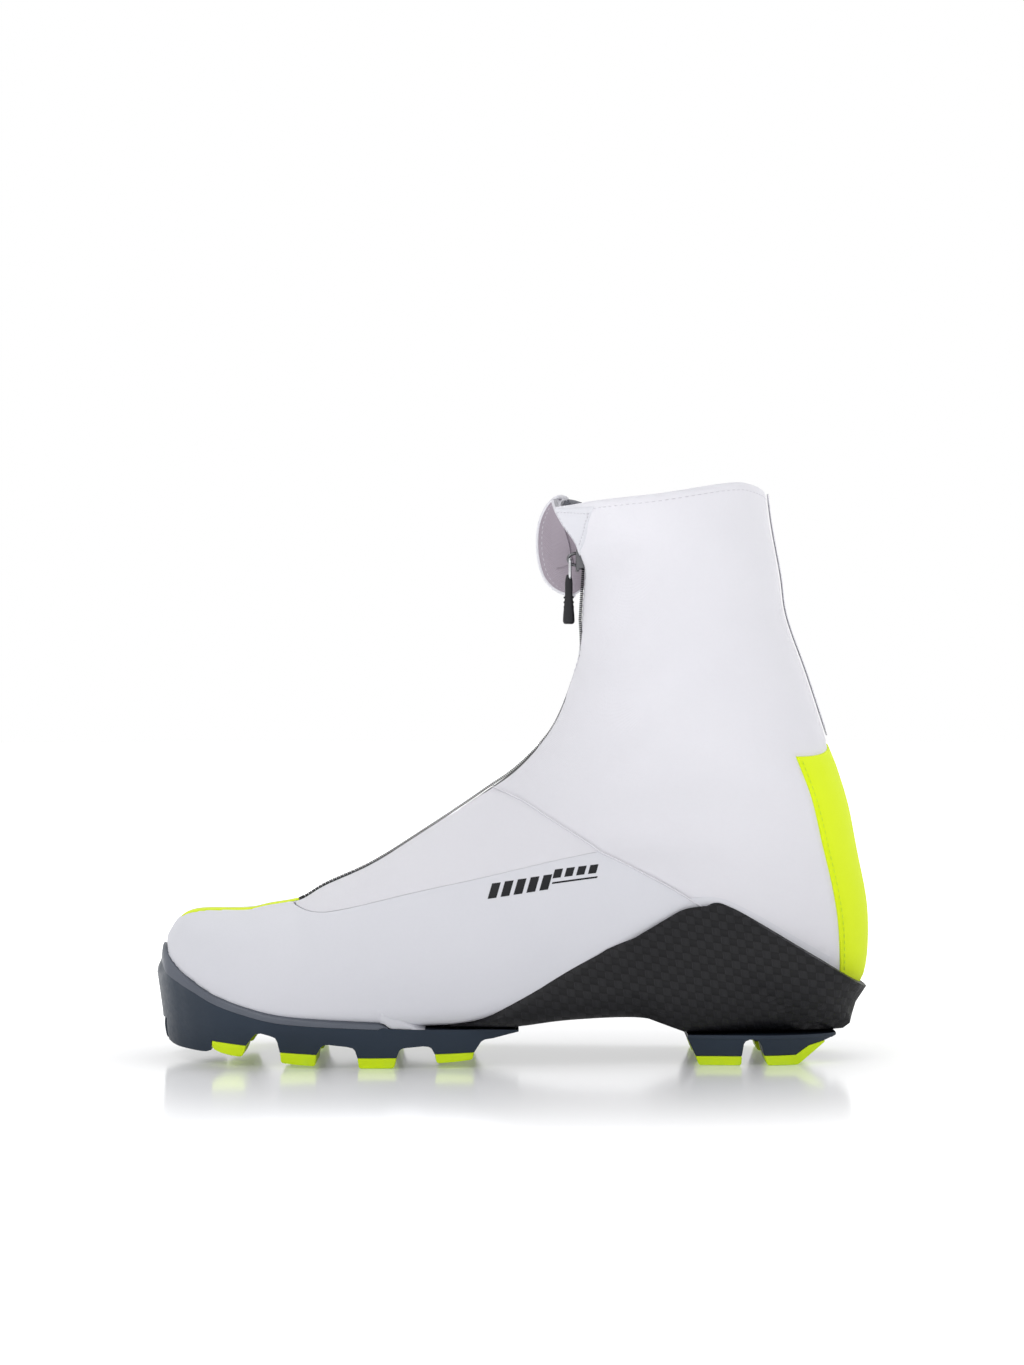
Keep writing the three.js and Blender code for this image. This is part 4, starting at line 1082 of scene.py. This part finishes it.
BALL_TIPS = (
    ((-41.05, 9.55), (-41.05, 6.9), (-40.7, 5.9), (-39.8, 4.8), (-38.2, 3.9), (-37.2, 3.7), (-36.75, 4.1),
    (-36.4, 6.1), (-36.2, 8.45)),
    ((-31.5, 6.15), (-31.4, 2.2), (-31.1, 1.7), (-29.0, 1.1), (-27.0, 0.75), (-26.7, 1.1), (-26.5, 5.45)),
    ((-20.93, 4.15), (-20.8, 0.4), (-20.5, 0), (-16.3, 0), (-15.97, 0.35), (-15.66, 4.15)),
    ((-10.5, 5.55), (-10.25, 2.3), (-9.9, 1.9), (-7.8, 2.3), (-5.7, 2.9), (-5.35, 3.4), (-5.16, 5.95)))


def to_channel(outer, way, channel):
    """The inner face: close behind the upper part of the wall, and as far in as the channel below it."""
    z = outer[:, 2]
    inner = wall_points(way, z, -3.0)
    side = np.where(way > 0, 1.0, -1.0)
    low = np.clip((16.4 - z) / 2.2, 0, 1)
    reach = np.where(outer[:, 0] < along(-41.4), RECESS_HALF, channel)
    inner[:, 1] += (side * reach - inner[:, 1]) * low
    inner[:, 0] += (outer[:, 0] - inner[:, 0]) * low
    return inner


def wall_block(name, outline, finish, width, spacing=2.4):
    flat, faces, _ = fill(outline, spacing)
    outer = wall_points(flat[:, 0], flat[:, 1])
    piece = shell(name, outer, to_channel(outer, flat[:, 0], CHANNEL_HALF), faces, finish, sharp_angle=32)
    return bevel(piece, width, 3)


def make_front_sole():
    """The outsole: one wall round the toe with its lugs, the rand over the cover, and the plate between."""
    bottoms, tops, bands = [], [], []
    for side in (-1, 1):
        points, way = half_run(side, 6.5)
        ahead = np.abs(points[:, 1]) < RECESS_HALF
        edge_way = float(way[np.nonzero(ahead & (points[:, 0] < 0))[0].max()])
        front = [(edge_way * 1.3, 6.4), (edge_way, 7.4), (edge_way, RECESS_TOP)]
        bottoms.append(way_line(side, FRONT_LOW) + front)
        crease, top, stations, turns = crease_line(side)
        rear_top = [(x, rand_top(along(x))) for x in (-16.2, -14, -12, -8, -4, -1, 0.9)]
        tops.append([tuple(p) for p in crease] + way_line(side, rear_top))
        bands.append((crease, top, stations, turns))
    outline = bottoms[0] + bottoms[1][::-1] + tops[1][::-1] + tops[0][1:]
    wall = wall_block("front_sole_wall", outline, SLATE, 0.55)
    finish_piece(wall, "boot", "slate_rubber", "front_outsole")
    rows = []
    for (crease, top, stations, turns), order in ((bands[0], -1), (bands[1], 1)):
        sunk = last_points(stations, turns, -1.2)
        edge = wall_points(crease[:, 0], crease[:, 1] + 0.1, 0.05)
        back = wall_points(crease[:, 0], crease[:, 1] - 0.4, -2.6)
        out = edge - top
        out[:, 2] = 0
        out /= np.linalg.norm(out, axis=1, keepdims=True) + 1e-6
        lip = top + out * 0.35 - [0, 0, 0.25]
        swell = top * 0.5 + edge * 0.5 + out * 0.25 + [0, 0, 0.25]
        ring = np.stack([sunk, top - [0, 0, 0.1] - out * 0.3, top, lip, swell, edge + [0, 0, 0.25], edge,
            back], 1)
        rows.append(ring[::-1] if order < 0 else ring[1:])
    # The band's lighter grey is a painted highlight, standing for light caught on the sole's rounded top
    # edge.
    band = joined("rand_band", [loft(np.vstack(rows))], RAND_HIGHLIGHT_RUBBER, sharp_angle=60)
    finish_piece(band, "boot", "slate_rubber")
    plate = []
    for x in np.linspace(-41.6, 0.4, 60):
        low = float(np.interp(x, *PLATE_LOW.T))
        plate.append([(along(x), y, z) for y,
            z in ((-15, low), (15, low), (15, low + 2.4), (-15, low + 2.4))])
    piece = joined("front_sole_plate", [loft(plate)], SLATE, smooth=False)
    finish_piece(piece, "boot", "slate_rubber")
    for label, side in SIDES.items():
        for number, rows in enumerate(BALL_TIPS, 1):
            tip = wall_block(f"ball_tread_{label}_{number}_pad", way_line(side, rows), NEON_RUBBER, 0.45,
                1.8)
            finish_piece(tip, "boot", "neon_rubber", f"ball_tread_{label}_{number}")


HEEL_BLOCKS = (
    ((23.9, 11.3), (25.1, 3.6), (31.4, 3.6), (31.65, 8.4), (31.9, 9.6), (32.4, 10.0), (32.4, 11.3)),
    ((33.1, 11.3), (33.1, 10.0), (33.7, 9.6), (34.1, 7.6), (34.45, 3.8), (38.8, 4.0), (40.6, 7.5),
    (42.9, 9.2), (43.7, 10.0), (44.2, 11.3)))
HEEL_TIPS = (
    ((25.1, 3.55), (25.5, 0.4), (25.75, 0), (31.1, 0), (31.35, 0.4), (31.4, 3.55)),
    ((34.45, 3.75), (34.85, 0.4), (35.1, 0), (38.8, 0), (39.3, 0.35), (43.0, 8.7), (42.85, 9.15),
    (40.6, 7.45), (38.8, 3.95)))


def side_block(name, side, rows, finish, width):
    """A lug over a side view outline, from the sole's wall in to the channel."""
    flat, faces, _ = fill(spots(rows), LUG_SPACING)
    outer = np.array([(x, wall_y(side, x, z), z) for x, z in flat])
    inner = np.stack([flat[:, 0], np.full(len(flat), side * CHANNEL_HALF), flat[:, 1]], -1)
    return bevel(shell(name, outer, inner, faces, finish, sharp_angle=32), width, 3)


def make_heel_sole():
    for label, side in SIDES.items():
        for number, (block, tip) in enumerate(zip(HEEL_BLOCKS, HEEL_TIPS), 1):
            lug = side_block(f"heel_lug_{label}_{number}", side, block, SLATE, 0.45)
            finish_piece(lug, "boot", "slate_rubber")
            pad = side_block(f"heel_tread_{label}_{number}_pad", side, tip, NEON_RUBBER, 0.4)
            finish_piece(pad, "boot", "neon_rubber", f"heel_tread_{label}_{number}")
    rows = []
    for x in np.linspace(24.0, 44.6, 70):
        low = float(np.interp(x, (24, 25, 44, 44.6), (10.9, 10.2, 10.2, 10.9)))
        lateral, medial = (wall_y(side, along(x), 11.5) for side in (-1, 1))
        rows.append([(along(x), y, z) for y, z in (
            (lateral + 0.4, low), (medial - 0.4, low), (medial, low + 0.4), (medial, 11.9),
            (lateral, 11.9), (lateral, low + 0.4))])
    plate = joined("heel_sole_plate", [loft(rows)], SLATE, sharp_angle=35)
    finish_piece(plate, "boot", "slate_rubber", "heel_outsole")


def make_toe_bar():
    x = along(-45.7)
    rings = []
    for y, radius in ((-14.2, 1.5), (-13.8, 2.2), (13.8, 2.2), (14.2, 1.5)):
        rings.append([(x + radius * math.cos(a), y, BAR_Z + radius * math.sin(a))
            for a in np.arange(24) * FULL_TURN / 24])
    piece = joined("toe_bar_rod", [loft(rings)], STEEL, sharp_angle=40)
    finish_piece(piece, "boot", "bright_steel", "toe_bar")


def make_cover_foot(label, side):
    """The cover's lowest band, pulled straight down onto the outsole behind the rand."""
    rings = []
    for x in np.linspace(along(-17.8), along(-11.8), 30):
        low = rand_top(x)
        rise = 0.5 + 3.4 * min(1.0, (along(-11.8) - x) / 10)
        s, turn = side_line([(x, low + rise)], side, 0.6)[0]
        top = last_points(s, turn, 0.62)
        sunk = last_points(s, turn, -1.2)
        foot = np.array([x, wall_y(side, x, low) - side * 0.35, low + 0.05])
        swell = top * 0.5 + foot * 0.5 + np.array([0, side * 0.35, 0])
        rings.append([sunk, top, swell, foot, foot - np.array([0, side * 3.0, 0.2])])
    piece = joined("cover_foot_" + label, [loft(rings)], OVERLAY_CLOTH, sharp_angle=70)
    finish_piece(piece, "boot", "overlay_fabric")


for label, side in SIDES.items():
    make_cover_foot(label, side)
make_front_sole()
make_heel_sole()
make_toe_bar()


# ---------------------------------------------------------------- zip
SLIDER_TOP = up(88.4)


def crest_frame(s):
    """A point on the crest, the way out of the boot and the way up the zip, in the middle plane."""
    crest = crest_at(np.array([s]))[0]
    ahead = crest_at(np.array([s + 0.01]))[0]
    path = ahead - crest
    path /= np.linalg.norm(path)
    out = np.array([-path[1], path[0]])
    return np.array([crest[0], 0, crest[1]]), np.array([out[0], 0, out[1]]), np.array([path[0], 0, path[1]])


def crest_stations(spacing, start, stop):
    dense = np.linspace(start, stop, 4000)
    points = crest_at(dense)
    lengths = np.concatenate([[0], np.cumsum(np.linalg.norm(np.diff(points, axis=0), axis=1))])
    return np.interp(np.arange(0, lengths[-1], spacing), lengths, dense)


SLIDER_STATION = float(np.interp(SLIDER_TOP, crest_at(np.linspace(2, 3, 400))[:, 1],
    np.linspace(2, 3, 400)))
ZIP_TOP = float(collar_station(0.0)[0])


def proud(s):
    """How far the zip stands out of the slot between the cover's edges."""
    return np.interp(s, [0, 1.5, 1.7, 1.92, 2.0, 3], [-0.1, -0.1, -1.1, -1.1, 0.2, 0.2])


def make_tape(label, side):
    stations = np.linspace(ZIP_START + 0.006, ZIP_TOP, 90)
    opening = np.interp(stations, [SLIDER_STATION, ZIP_TOP], [0.1, 4.2])
    outer = crest_edge(stations, SLOT(stations) + 3.0, side)
    inner = crest_edge(stations, opening, side)[::-1]
    piece = skin("zip_tape_band_" + label, np.vstack([outer, inner]), -0.75, 0.9, BLACK_TAPE, spacing=1.2,
        roll=0.6,
                 drop=0.2, bend=zip_shape)
    return finish_piece(piece, "boot", "tape_fabric", "zip_tape_" + label)


def tooth(centre, out, path, width, side):
    """One moulded element: a foot astride the tape and a head that reaches across the middle."""
    foot = centre - out * 0.45
    parts = []
    for reach, half, low, high in ((-0.75, 0.30, 0.1, 0.95), (-0.2, 0.36, 0.0, 1.15),
        (width * 0.55, 0.30, 0.0, 1.2),
                                   (width, 0.26, 0.1, 0.75)):
        across = np.array([0, side * reach, 0])
        parts.append([foot + across - path * half + out * low, foot + across + path * half + out * low,
                      foot + across + path * half * 0.8 + out * high,
                      foot + across - path * half * 0.8 + out * high])
    return loft(parts)


def make_teeth():
    parts = []
    for number, s in enumerate(crest_stations(0.8, ZIP_START + 0.012, ZIP_TOP - 0.004)):
        side = -1 if number % 2 else 1
        centre, out, path = crest_frame(s)
        spread = float(np.interp(s, [SLIDER_STATION, ZIP_TOP], [0, 4.2]))
        centre = centre + np.array([0, side * spread, 0]) + out * float(proud(s))
        centre = centre + out * float(zip_shape(centre[None])[0])
        parts.append(tooth(centre, out, path, 2.0, side))
    piece = joined("zip_teeth", parts, BLACK_PLASTIC, smooth=False)
    finish_piece(piece, "boot", "zip_plastic", "zip_chain")
    centre, out, path = crest_frame(ZIP_START + 0.008)
    stop = []
    for t, w, h in ((-1.6, 1.6, 0.2), (-1.1, 2.4, 0.55), (0.8, 2.6, 0.7), (1.2, 2.2, 0.4)):
        c = centre + path * t
        stop.append([c + np.array([0, y, 0]) + out * z for y,
            z in ((-w, -0.5), (w, -0.5), (w * 0.8, h), (-w * 0.8, h))])
    piece = joined("zip_bottom_clip", [loft(stop)], BLACK_PLASTIC, smooth=False)
    finish_piece(bevel(piece, 0.15), "boot", "zip_plastic", "zip_bottom_stop")


for label, side in SIDES.items():
    make_tape(label, side)
make_teeth()


# The slider, link and grip take their places from the CAD pieces they stand for.
def in_mm(node):
    low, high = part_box(node)
    return np.array(low) / MM - SHIFT, np.array(high) / MM - SHIFT


def rounded_ring(half_y, half_z, radius, steps=5):
    out = []
    for cy, cz, start in ((half_y - radius, half_z - radius, 0), (-half_y + radius, half_z - radius, 90),
                          (-half_y + radius, -half_z + radius, 180),
                          (half_y - radius, -half_z + radius, 270)):
        for k in range(steps + 1):
            a = math.radians(start + 90 * k / steps)
            out.append((cy + radius * math.cos(a), cz + radius * math.sin(a)))
    return out


def make_slider():
    low, high = in_mm("zip_slider")
    mid_z = (low[2] + high[2]) / 2
    half_z = (high[2] - low[2]) / 2
    plate_x = low[0] + 3.7
    parts = []
    rows = []
    for x, grow in ((plate_x + 1.3, 0.0), (plate_x + 0.4, 0.0), (plate_x, -0.5)):
        ring = []
        for y, z in rounded_ring(3.9, half_z, 1.4):
            waist = 1 - 0.14 * math.cos(z / half_z * math.pi / 2) ** 2
            ring.append((x, y * waist * (1 + grow / 4), mid_z + z * (1 + grow / 5)))
        rows.append(ring)
    parts.append(loft(rows))
    for side in (-1, 1):
        edge = ((3.1, -half_z + 0.9), (4.0, -half_z + 1.4), (4.0, half_z - 1.4), (3.1, half_z - 0.9))
        flange = [[(x, side * y, mid_z + z) for y, z in edge] for x in (plate_x + 0.5, high[0])]
        parts.append(loft(flange))
    piece = joined("slider_body", parts, GUNMETAL, smooth=False)
    bevel(piece, 0.25)
    finish_piece(piece, "slider", "zip_metal", "zip_slider")
    bail_z = high[2] - 4
    arch = []
    for k in range(17):
        a = math.pi * k / 16
        arch.append((plate_x + 0.3 - 3.4 * math.sin(a), 0, bail_z + 2.4 * math.cos(a)))
    bail = tube("slider_bail", arch, 0.65, GUNMETAL, sides=10)
    finish_piece(bail, "slider", "zip_metal")


# The grip's sections: share of its length from the free end, half width and half depth.
GRIP_SECTIONS = (
    (0, 2.4, 1.6), (0.02, 3.0, 2.1), (0.06, 3.3, 2.35), (0.2, 3.35, 2.2), (0.45, 3.0, 1.75),
    (0.6, 2.9, 1.5),
    (0.75, 3.1, 1.5), (0.84, 3.1, 1.5), (0.9, 2.6, 1.35), (0.97, 2.0, 1.1), (1.0, 1.5, 0.8))
GRIP_RIB = ((0, -0.5), (0.55, -0.25), (0.55, 0.25), (0, 0.5))


def make_pull():
    low, high = in_mm("pull_link")
    x = (low[0] + high[0]) / 2
    middle = (low[2] + high[2]) / 2
    ring = [(x, y, middle + z) for y, z in rounded_ring(2.6, (high[2] - low[2]) / 2 - 0.6, 1.6, 6)]
    link = tube("pull_wire", ring, 0.58, STEEL, sides=10, closed=True)
    finish_piece(link, "pull", "bright_steel", "pull_link")
    low, high = in_mm("pull_grip")
    x = (low[0] + high[0]) / 2
    x -= 0.5
    rows = []
    length = high[2] - low[2]
    for share, half_y, half_x in GRIP_SECTIONS:
        z = low[2] + share * length
        rows.append([(x + px, py, z) for px,
            py in rounded_ring(half_x, half_y, min(half_x, half_y) * 0.7, 4)])
    parts = [loft(rows)]
    for k in range(5):
        z = low[2] + 3.0 + k * 1.9
        for face in (-1, 1):
            rib = [[(x + face * (1.5 + h), y, z + dz) for h, dz in GRIP_RIB] for y in (-2.3, 2.3)]
            parts.append(loft(rib))
    grip = joined("grip_tab", parts, GRIP_RUBBER, sharp_angle=45)
    finish_piece(grip, "pull", "grip_rubber", "pull_grip")


make_slider()
make_pull()


# ---------------------------------------------------------------- collar flap
FLAP_LIP = spline(np.array([
    (25.5, 184.4), (21.5, 185.2), (17.0, 187.6), (13.3, 192), (11.2, 199), (10.6, 206), (11.3, 213.5),
    (13.6, 219.2),
    (16.2, 222.4), (18.6, 223.8), (21.0, 223.6), (22.4, 222.6)]), 60)
FLAP_ROOT_LOW = 187.0
FLAP_ROOT_HIGH = 222.8


def flap_point(share, reach):
    """A point of the flap's middle: share runs from its foot to its head, reach from its root to its lip."""
    z = FLAP_ROOT_LOW + (FLAP_ROOT_HIGH - FLAP_ROOT_LOW) * share
    crest_x = float(crest_at(np.array([float(station_of(along(10), z))]))[0][0])
    root_x = crest_x + 1.5 - float(flare(np.array([[crest_x, 10.5, z]]))[0])
    at = share * (len(FLAP_LIP) - 1)
    lip = np.array([np.interp(at, np.arange(len(FLAP_LIP)), FLAP_LIP[:, k]) for k in (0, 1)])
    x = root_x + (lip[0] - root_x) * reach
    span = max(0.5, root_x - lip[0])
    y = 10.5 + span * (0.35 * reach + 0.5 * reach**1.8)
    return np.array([x, y, z + (lip[1] - z) * reach])


def flap_sheet(name, share_range, reach_range, middle, half, finish, rows=36, columns=18):
    """Part of the flap as a sheet that stands off its middle, towards the lining when that is positive."""
    faces_in, faces_out = [], []
    for j in range(rows + 1):
        share = share_range[0] + (share_range[1] - share_range[0]) * j / rows
        for i in range(columns + 1):
            reach = reach_range[0] + (reach_range[1] - reach_range[0]) * i / columns
            q = flap_point(share, min(1.0, reach + 0.03)) - flap_point(share, max(0.0, reach - 0.03))
            lining = np.array([-q[1], q[0], 0])
            lining = lining / (np.linalg.norm(lining) + 1e-9)
            centre = flap_point(share, reach) + lining * middle
            faces_in.append(centre + lining * half)
            faces_out.append(centre - lining * half)
    width = columns + 1
    grid = []
    for j in range(rows):
        for i in range(columns):
            a = j * width + i
            grid += [(a, a + 1, a + width + 1), (a, a + width + 1, a + width)]
    return shell(name, np.array(faces_in), np.array(faces_out), grid, finish, sharp_angle=60)


def hang_on_flap(piece, slot, *nodes):
    if nodes:
        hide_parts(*nodes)
    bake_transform(piece)
    return piece


def make_flap():
    outside = flap_sheet("flap_cloth", (0.012, 0.988), (0, 1), -0.25, 0.45, COVER_CLOTH)
    hang_on_flap(outside, "cover_fabric", "collar_flap")
    inside_face = flap_sheet("flap_lining_cloth", (0.03, 0.97), (0.02, 0.96), 0.45, 0.3, FLAP_LINING)
    hang_on_flap(inside_face, "cover_fabric")
    patch = flap_sheet("flap_hook_pad", (0.3, 0.72), (0.22, 0.62), 1.1, 0.3, HOOKS, rows=16, columns=8)
    hang_on_flap(patch, "hook_fabric", "flap_hook_patch")
    rim = [flap_point(share, 1.0) for share in np.linspace(0.012, 0.988, 60)]
    binding = tube("flap_binding", rim, 0.95, COVER_CLOTH, sides=10)
    hang_on_flap(binding, "cover_fabric")
    dots = []
    place, total = even_steps(np.array([flap_point(share, 0.88) for share in np.linspace(0.08, 0.92, 50)]))
    for start in np.arange(1.0, total - 1.4, 2.2):
        a, b = place(start), place(start + 1.3)
        lining = np.array([-0.66, -0.75, 0]) * 0.72
        rings = []
        for share, size in ((0, 0.35), (0.15, 0.85), (0.5, 1.0), (0.85, 0.85), (1, 0.35)):
            c = a + (b - a) * share + lining
            rings.append([c + 0.18 * size * np.array([math.cos(w), math.sin(w) * 0.6, 0])
                          for w in np.arange(6) * FULL_TURN / 6])
        dots.append(loft(rings))
    hang_on_flap(joined("flap_stitches", dots, THREAD), "cover_fabric")


make_flap()


# ---------------------------------------------------------------- lining, tongue and footbed
def grid_skin(name, span, turns, steps, offset, thickness, finish, bulge=0.0, bend=None):
    """A closed padded sheet over columns of turns, each between two stations, its top edge rolled."""
    outer, inner = [], []
    for turn in turns:
        s = np.linspace(*span(turn), steps)
        roll = np.clip(1 - (s[-1] - s) / 0.06, 0, 1) ** 2 * thickness * 0.38
        swell = bulge * np.sin(np.linspace(0, math.pi, steps))
        lift = 0.0 if bend is None else bend(last_points(s, turn, offset)) * 0.8
        outer.append(last_points(s, turn, offset + lift - roll))
        inner.append(last_points(s, turn, offset + lift - thickness + roll - swell))
    columns = len(turns)
    faces = []
    for c in range(columns - 1):
        for k in range(steps - 1):
            a, b = c * steps + k, (c + 1) * steps + k
            faces += [(a, b, b + 1), (a, b + 1, a + 1)]
    return shell(name, np.array(outer).reshape(-1, 3), np.array(inner).reshape(-1, 3), faces, finish,
        sharp_angle=70)


def swell_cloth(piece, voxel, pressure, frames, cap):
    """Swells a padded piece as cloth under a little pressure, no point moving further than the cap."""
    remesh = piece.modifiers.new("even", "REMESH")
    remesh.mode = "VOXEL"
    remesh.voxel_size = voxel * MM
    remesh.use_smooth_shade = True
    apply_shape(piece)
    before = np.array([v.co for v in piece.data.vertices])
    cloth = piece.modifiers.new("cloth", "CLOTH")
    cloth.settings.use_pressure = True
    cloth.settings.uniform_pressure_force = pressure
    cloth.settings.effector_weights.gravity = 0
    cloth.settings.quality = 5
    scene = bpy.context.scene
    for frame_number in range(1, frames + 1):
        scene.frame_set(frame_number)
    apply_shape(piece)
    scene.frame_set(1)
    after = np.array([v.co for v in piece.data.vertices])
    move = after - before
    far = np.linalg.norm(move, axis=1, keepdims=True)
    move *= np.minimum(1, cap * MM / np.maximum(far, 1e-9))
    piece.data.vertices.foreach_set("co", (before + move).ravel())
    smooth = piece.modifiers.new("smooth", "SUBSURF")
    smooth.levels = 1
    smooth.render_levels = 1
    return piece


def apply_shape(piece):
    graph = bpy.context.evaluated_depsgraph_get()
    made = bpy.data.meshes.new_from_object(piece.evaluated_get(graph))
    piece.modifiers.clear()
    piece.data = made


def make_liner():
    turns = np.linspace(0.26, FULL_TURN - 0.26, 110)
    turns = np.where(turns > math.pi, turns - FULL_TURN, turns)
    tops = dict(zip(turns, collar_station(turns) - 0.004))
    piece = grid_skin("liner_lining", lambda turn: (0.2, tops[turn]), turns, 80, -1.9, 4.2, LINER_FLEECE,
        bend=flare)
    finish_piece(piece, "boot", "liner_fabric", "liner")
    line = np.stack([collar_station(turns) - 0.09, turns], -1)
    for label, keep in (("medial", turns > 0), ("lateral", turns < 0)):
        row = stitch_row("liner_stitches_" + label, line[keep], -6.15, 2.8, 1.7, 0.2, BLACK_TAPE)
        finish_piece(row, "boot", "liner_fabric")


def make_tongue():
    turns = np.linspace(-0.42, 0.42, 24)
    piece = grid_skin("tongue_pad", lambda turn: (1.25, 2.7 - 0.5 * turn * turn), turns, 60, -7.6, 3.0,
        LINER_FLEECE, bulge=0.6)
    swell_cloth(piece, voxel=3.0, pressure=4.0, frames=16, cap=1.2)
    piece.data.materials.clear()
    piece.data.materials.append(LINER_FLEECE)
    return finish_piece(piece, "boot", "liner_fabric", "tongue")


make_liner()
make_tongue()

CARRIED = {
    "toe_puff": STIFFENER, "heel_counter": STIFFENER, "lace_facing_lateral": STIFFENER,
    "lace_facing_medial": STIFFENER,
    "insole_board": BOARD, "footbed": LINER_FLEECE}
for node, finish in CARRIED.items():
    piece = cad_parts[node]
    piece.data.materials.clear()
    piece.data.materials.append(finish)


# ---------------------------------------------------------------- studio
def area_light(name, place, aim, size, power):
    data = bpy.data.lights.new(name, "AREA")
    data.shape = "RECTANGLE"
    data.size, data.size_y = size
    data.energy = power
    light = bpy.data.objects.new(name, data)
    bpy.context.collection.objects.link(light)
    light.location = place
    light.rotation_euler = (Vector(aim) - Vector(place)).to_track_quat("-Z", "Y").to_euler()
    return light


def make_studio():
    scene = bpy.context.scene
    world = bpy.data.worlds.new("studio")
    world.use_nodes = True
    world.node_tree.nodes["Background"].inputs["Color"].default_value = (0.97, 0.98, 1.0, 1.0)
    world.node_tree.nodes["Background"].inputs["Strength"].default_value = 0.45
    scene.world = world
    floor_finish = Finish("studio_floor", Roughness=0.13, Specular_IOR_Level=0.4, Emission_Strength=1.0)
    floor_finish.colour(floor_finish.blend(floor_finish.noise(3.0, 2.0) * 0.1, (0.8, 0.8, 0.81),
        (0.77, 0.77, 0.78)))
    x, y, _ = floor_finish.axes()
    # The floor glows white away from the boot and only dimly in an ellipse beneath it: painted light, with a
    # painted shadow under the boot.
    away = ((x * x) * 0.4 + y * y).math("SQRT")
    floor_glow_and_painted_shadow = floor_finish.blend(away.smoothstep(0.07, 0.32), (0.16, 0.16, 0.16), (1.0, 1.0, 1.0))
    floor_finish.tree.links.new(floor_glow_and_painted_shadow.socket, floor_finish.shader.inputs["Emission Color"])
    low = -0.0002
    floor = build("studio_floor", [(-6, -6, low), (6, -6, low), (6, 6, low), (-6, 6, low)], [(0, 1, 2, 3)],
                  floor_finish.material)
    backdrop_finish = Finish("studio_backdrop", Roughness=1.0, Base_Color=(0.0, 0.0, 0.0, 1.0),
        Specular_IOR_Level=0.0,
                             Emission_Color=(1.0, 1.0, 1.0, 1.0), Emission_Strength=1.0)
    ring = [(6 * math.cos(a), 6 * math.sin(a)) for a in np.arange(48) * FULL_TURN / 48]
    walls = [[(x, y, z) for x, y in ring] for z in (-0.01, 7.0)]
    points, faces = loft(walls, caps=False)
    faces.append(tuple(range(48, 96)))
    backdrop = build("studio_backdrop", points, faces, backdrop_finish.material)
    backdrop.visible_diffuse = False
    backdrop.visible_shadow = False
    area_light("key", (-0.7, -1.1, 1.3), (0, 0, 0.08), (1.1, 0.9), 8.2)
    area_light("top", (0.3, 0.5, 1.6), (0, 0, 0.1), (1.6, 1.2), 12)
    area_light("fill", (1.3, -0.5, 0.7), (0, 0, 0.1), (0.7, 0.9), 1.2)
    camera_data = bpy.data.cameras.new("camera")
    camera_data.sensor_width = 36
    camera_data.lens = 75.8
    camera_data.clip_end = 30
    camera = bpy.data.objects.new("camera", camera_data)
    bpy.context.collection.objects.link(camera)
    camera.location = (0.0, -1.15, 0.149)
    camera.rotation_euler = (math.radians(90), 0, 0)
    scene.camera = camera
    scene.view_settings.view_transform = "Standard"


make_studio()
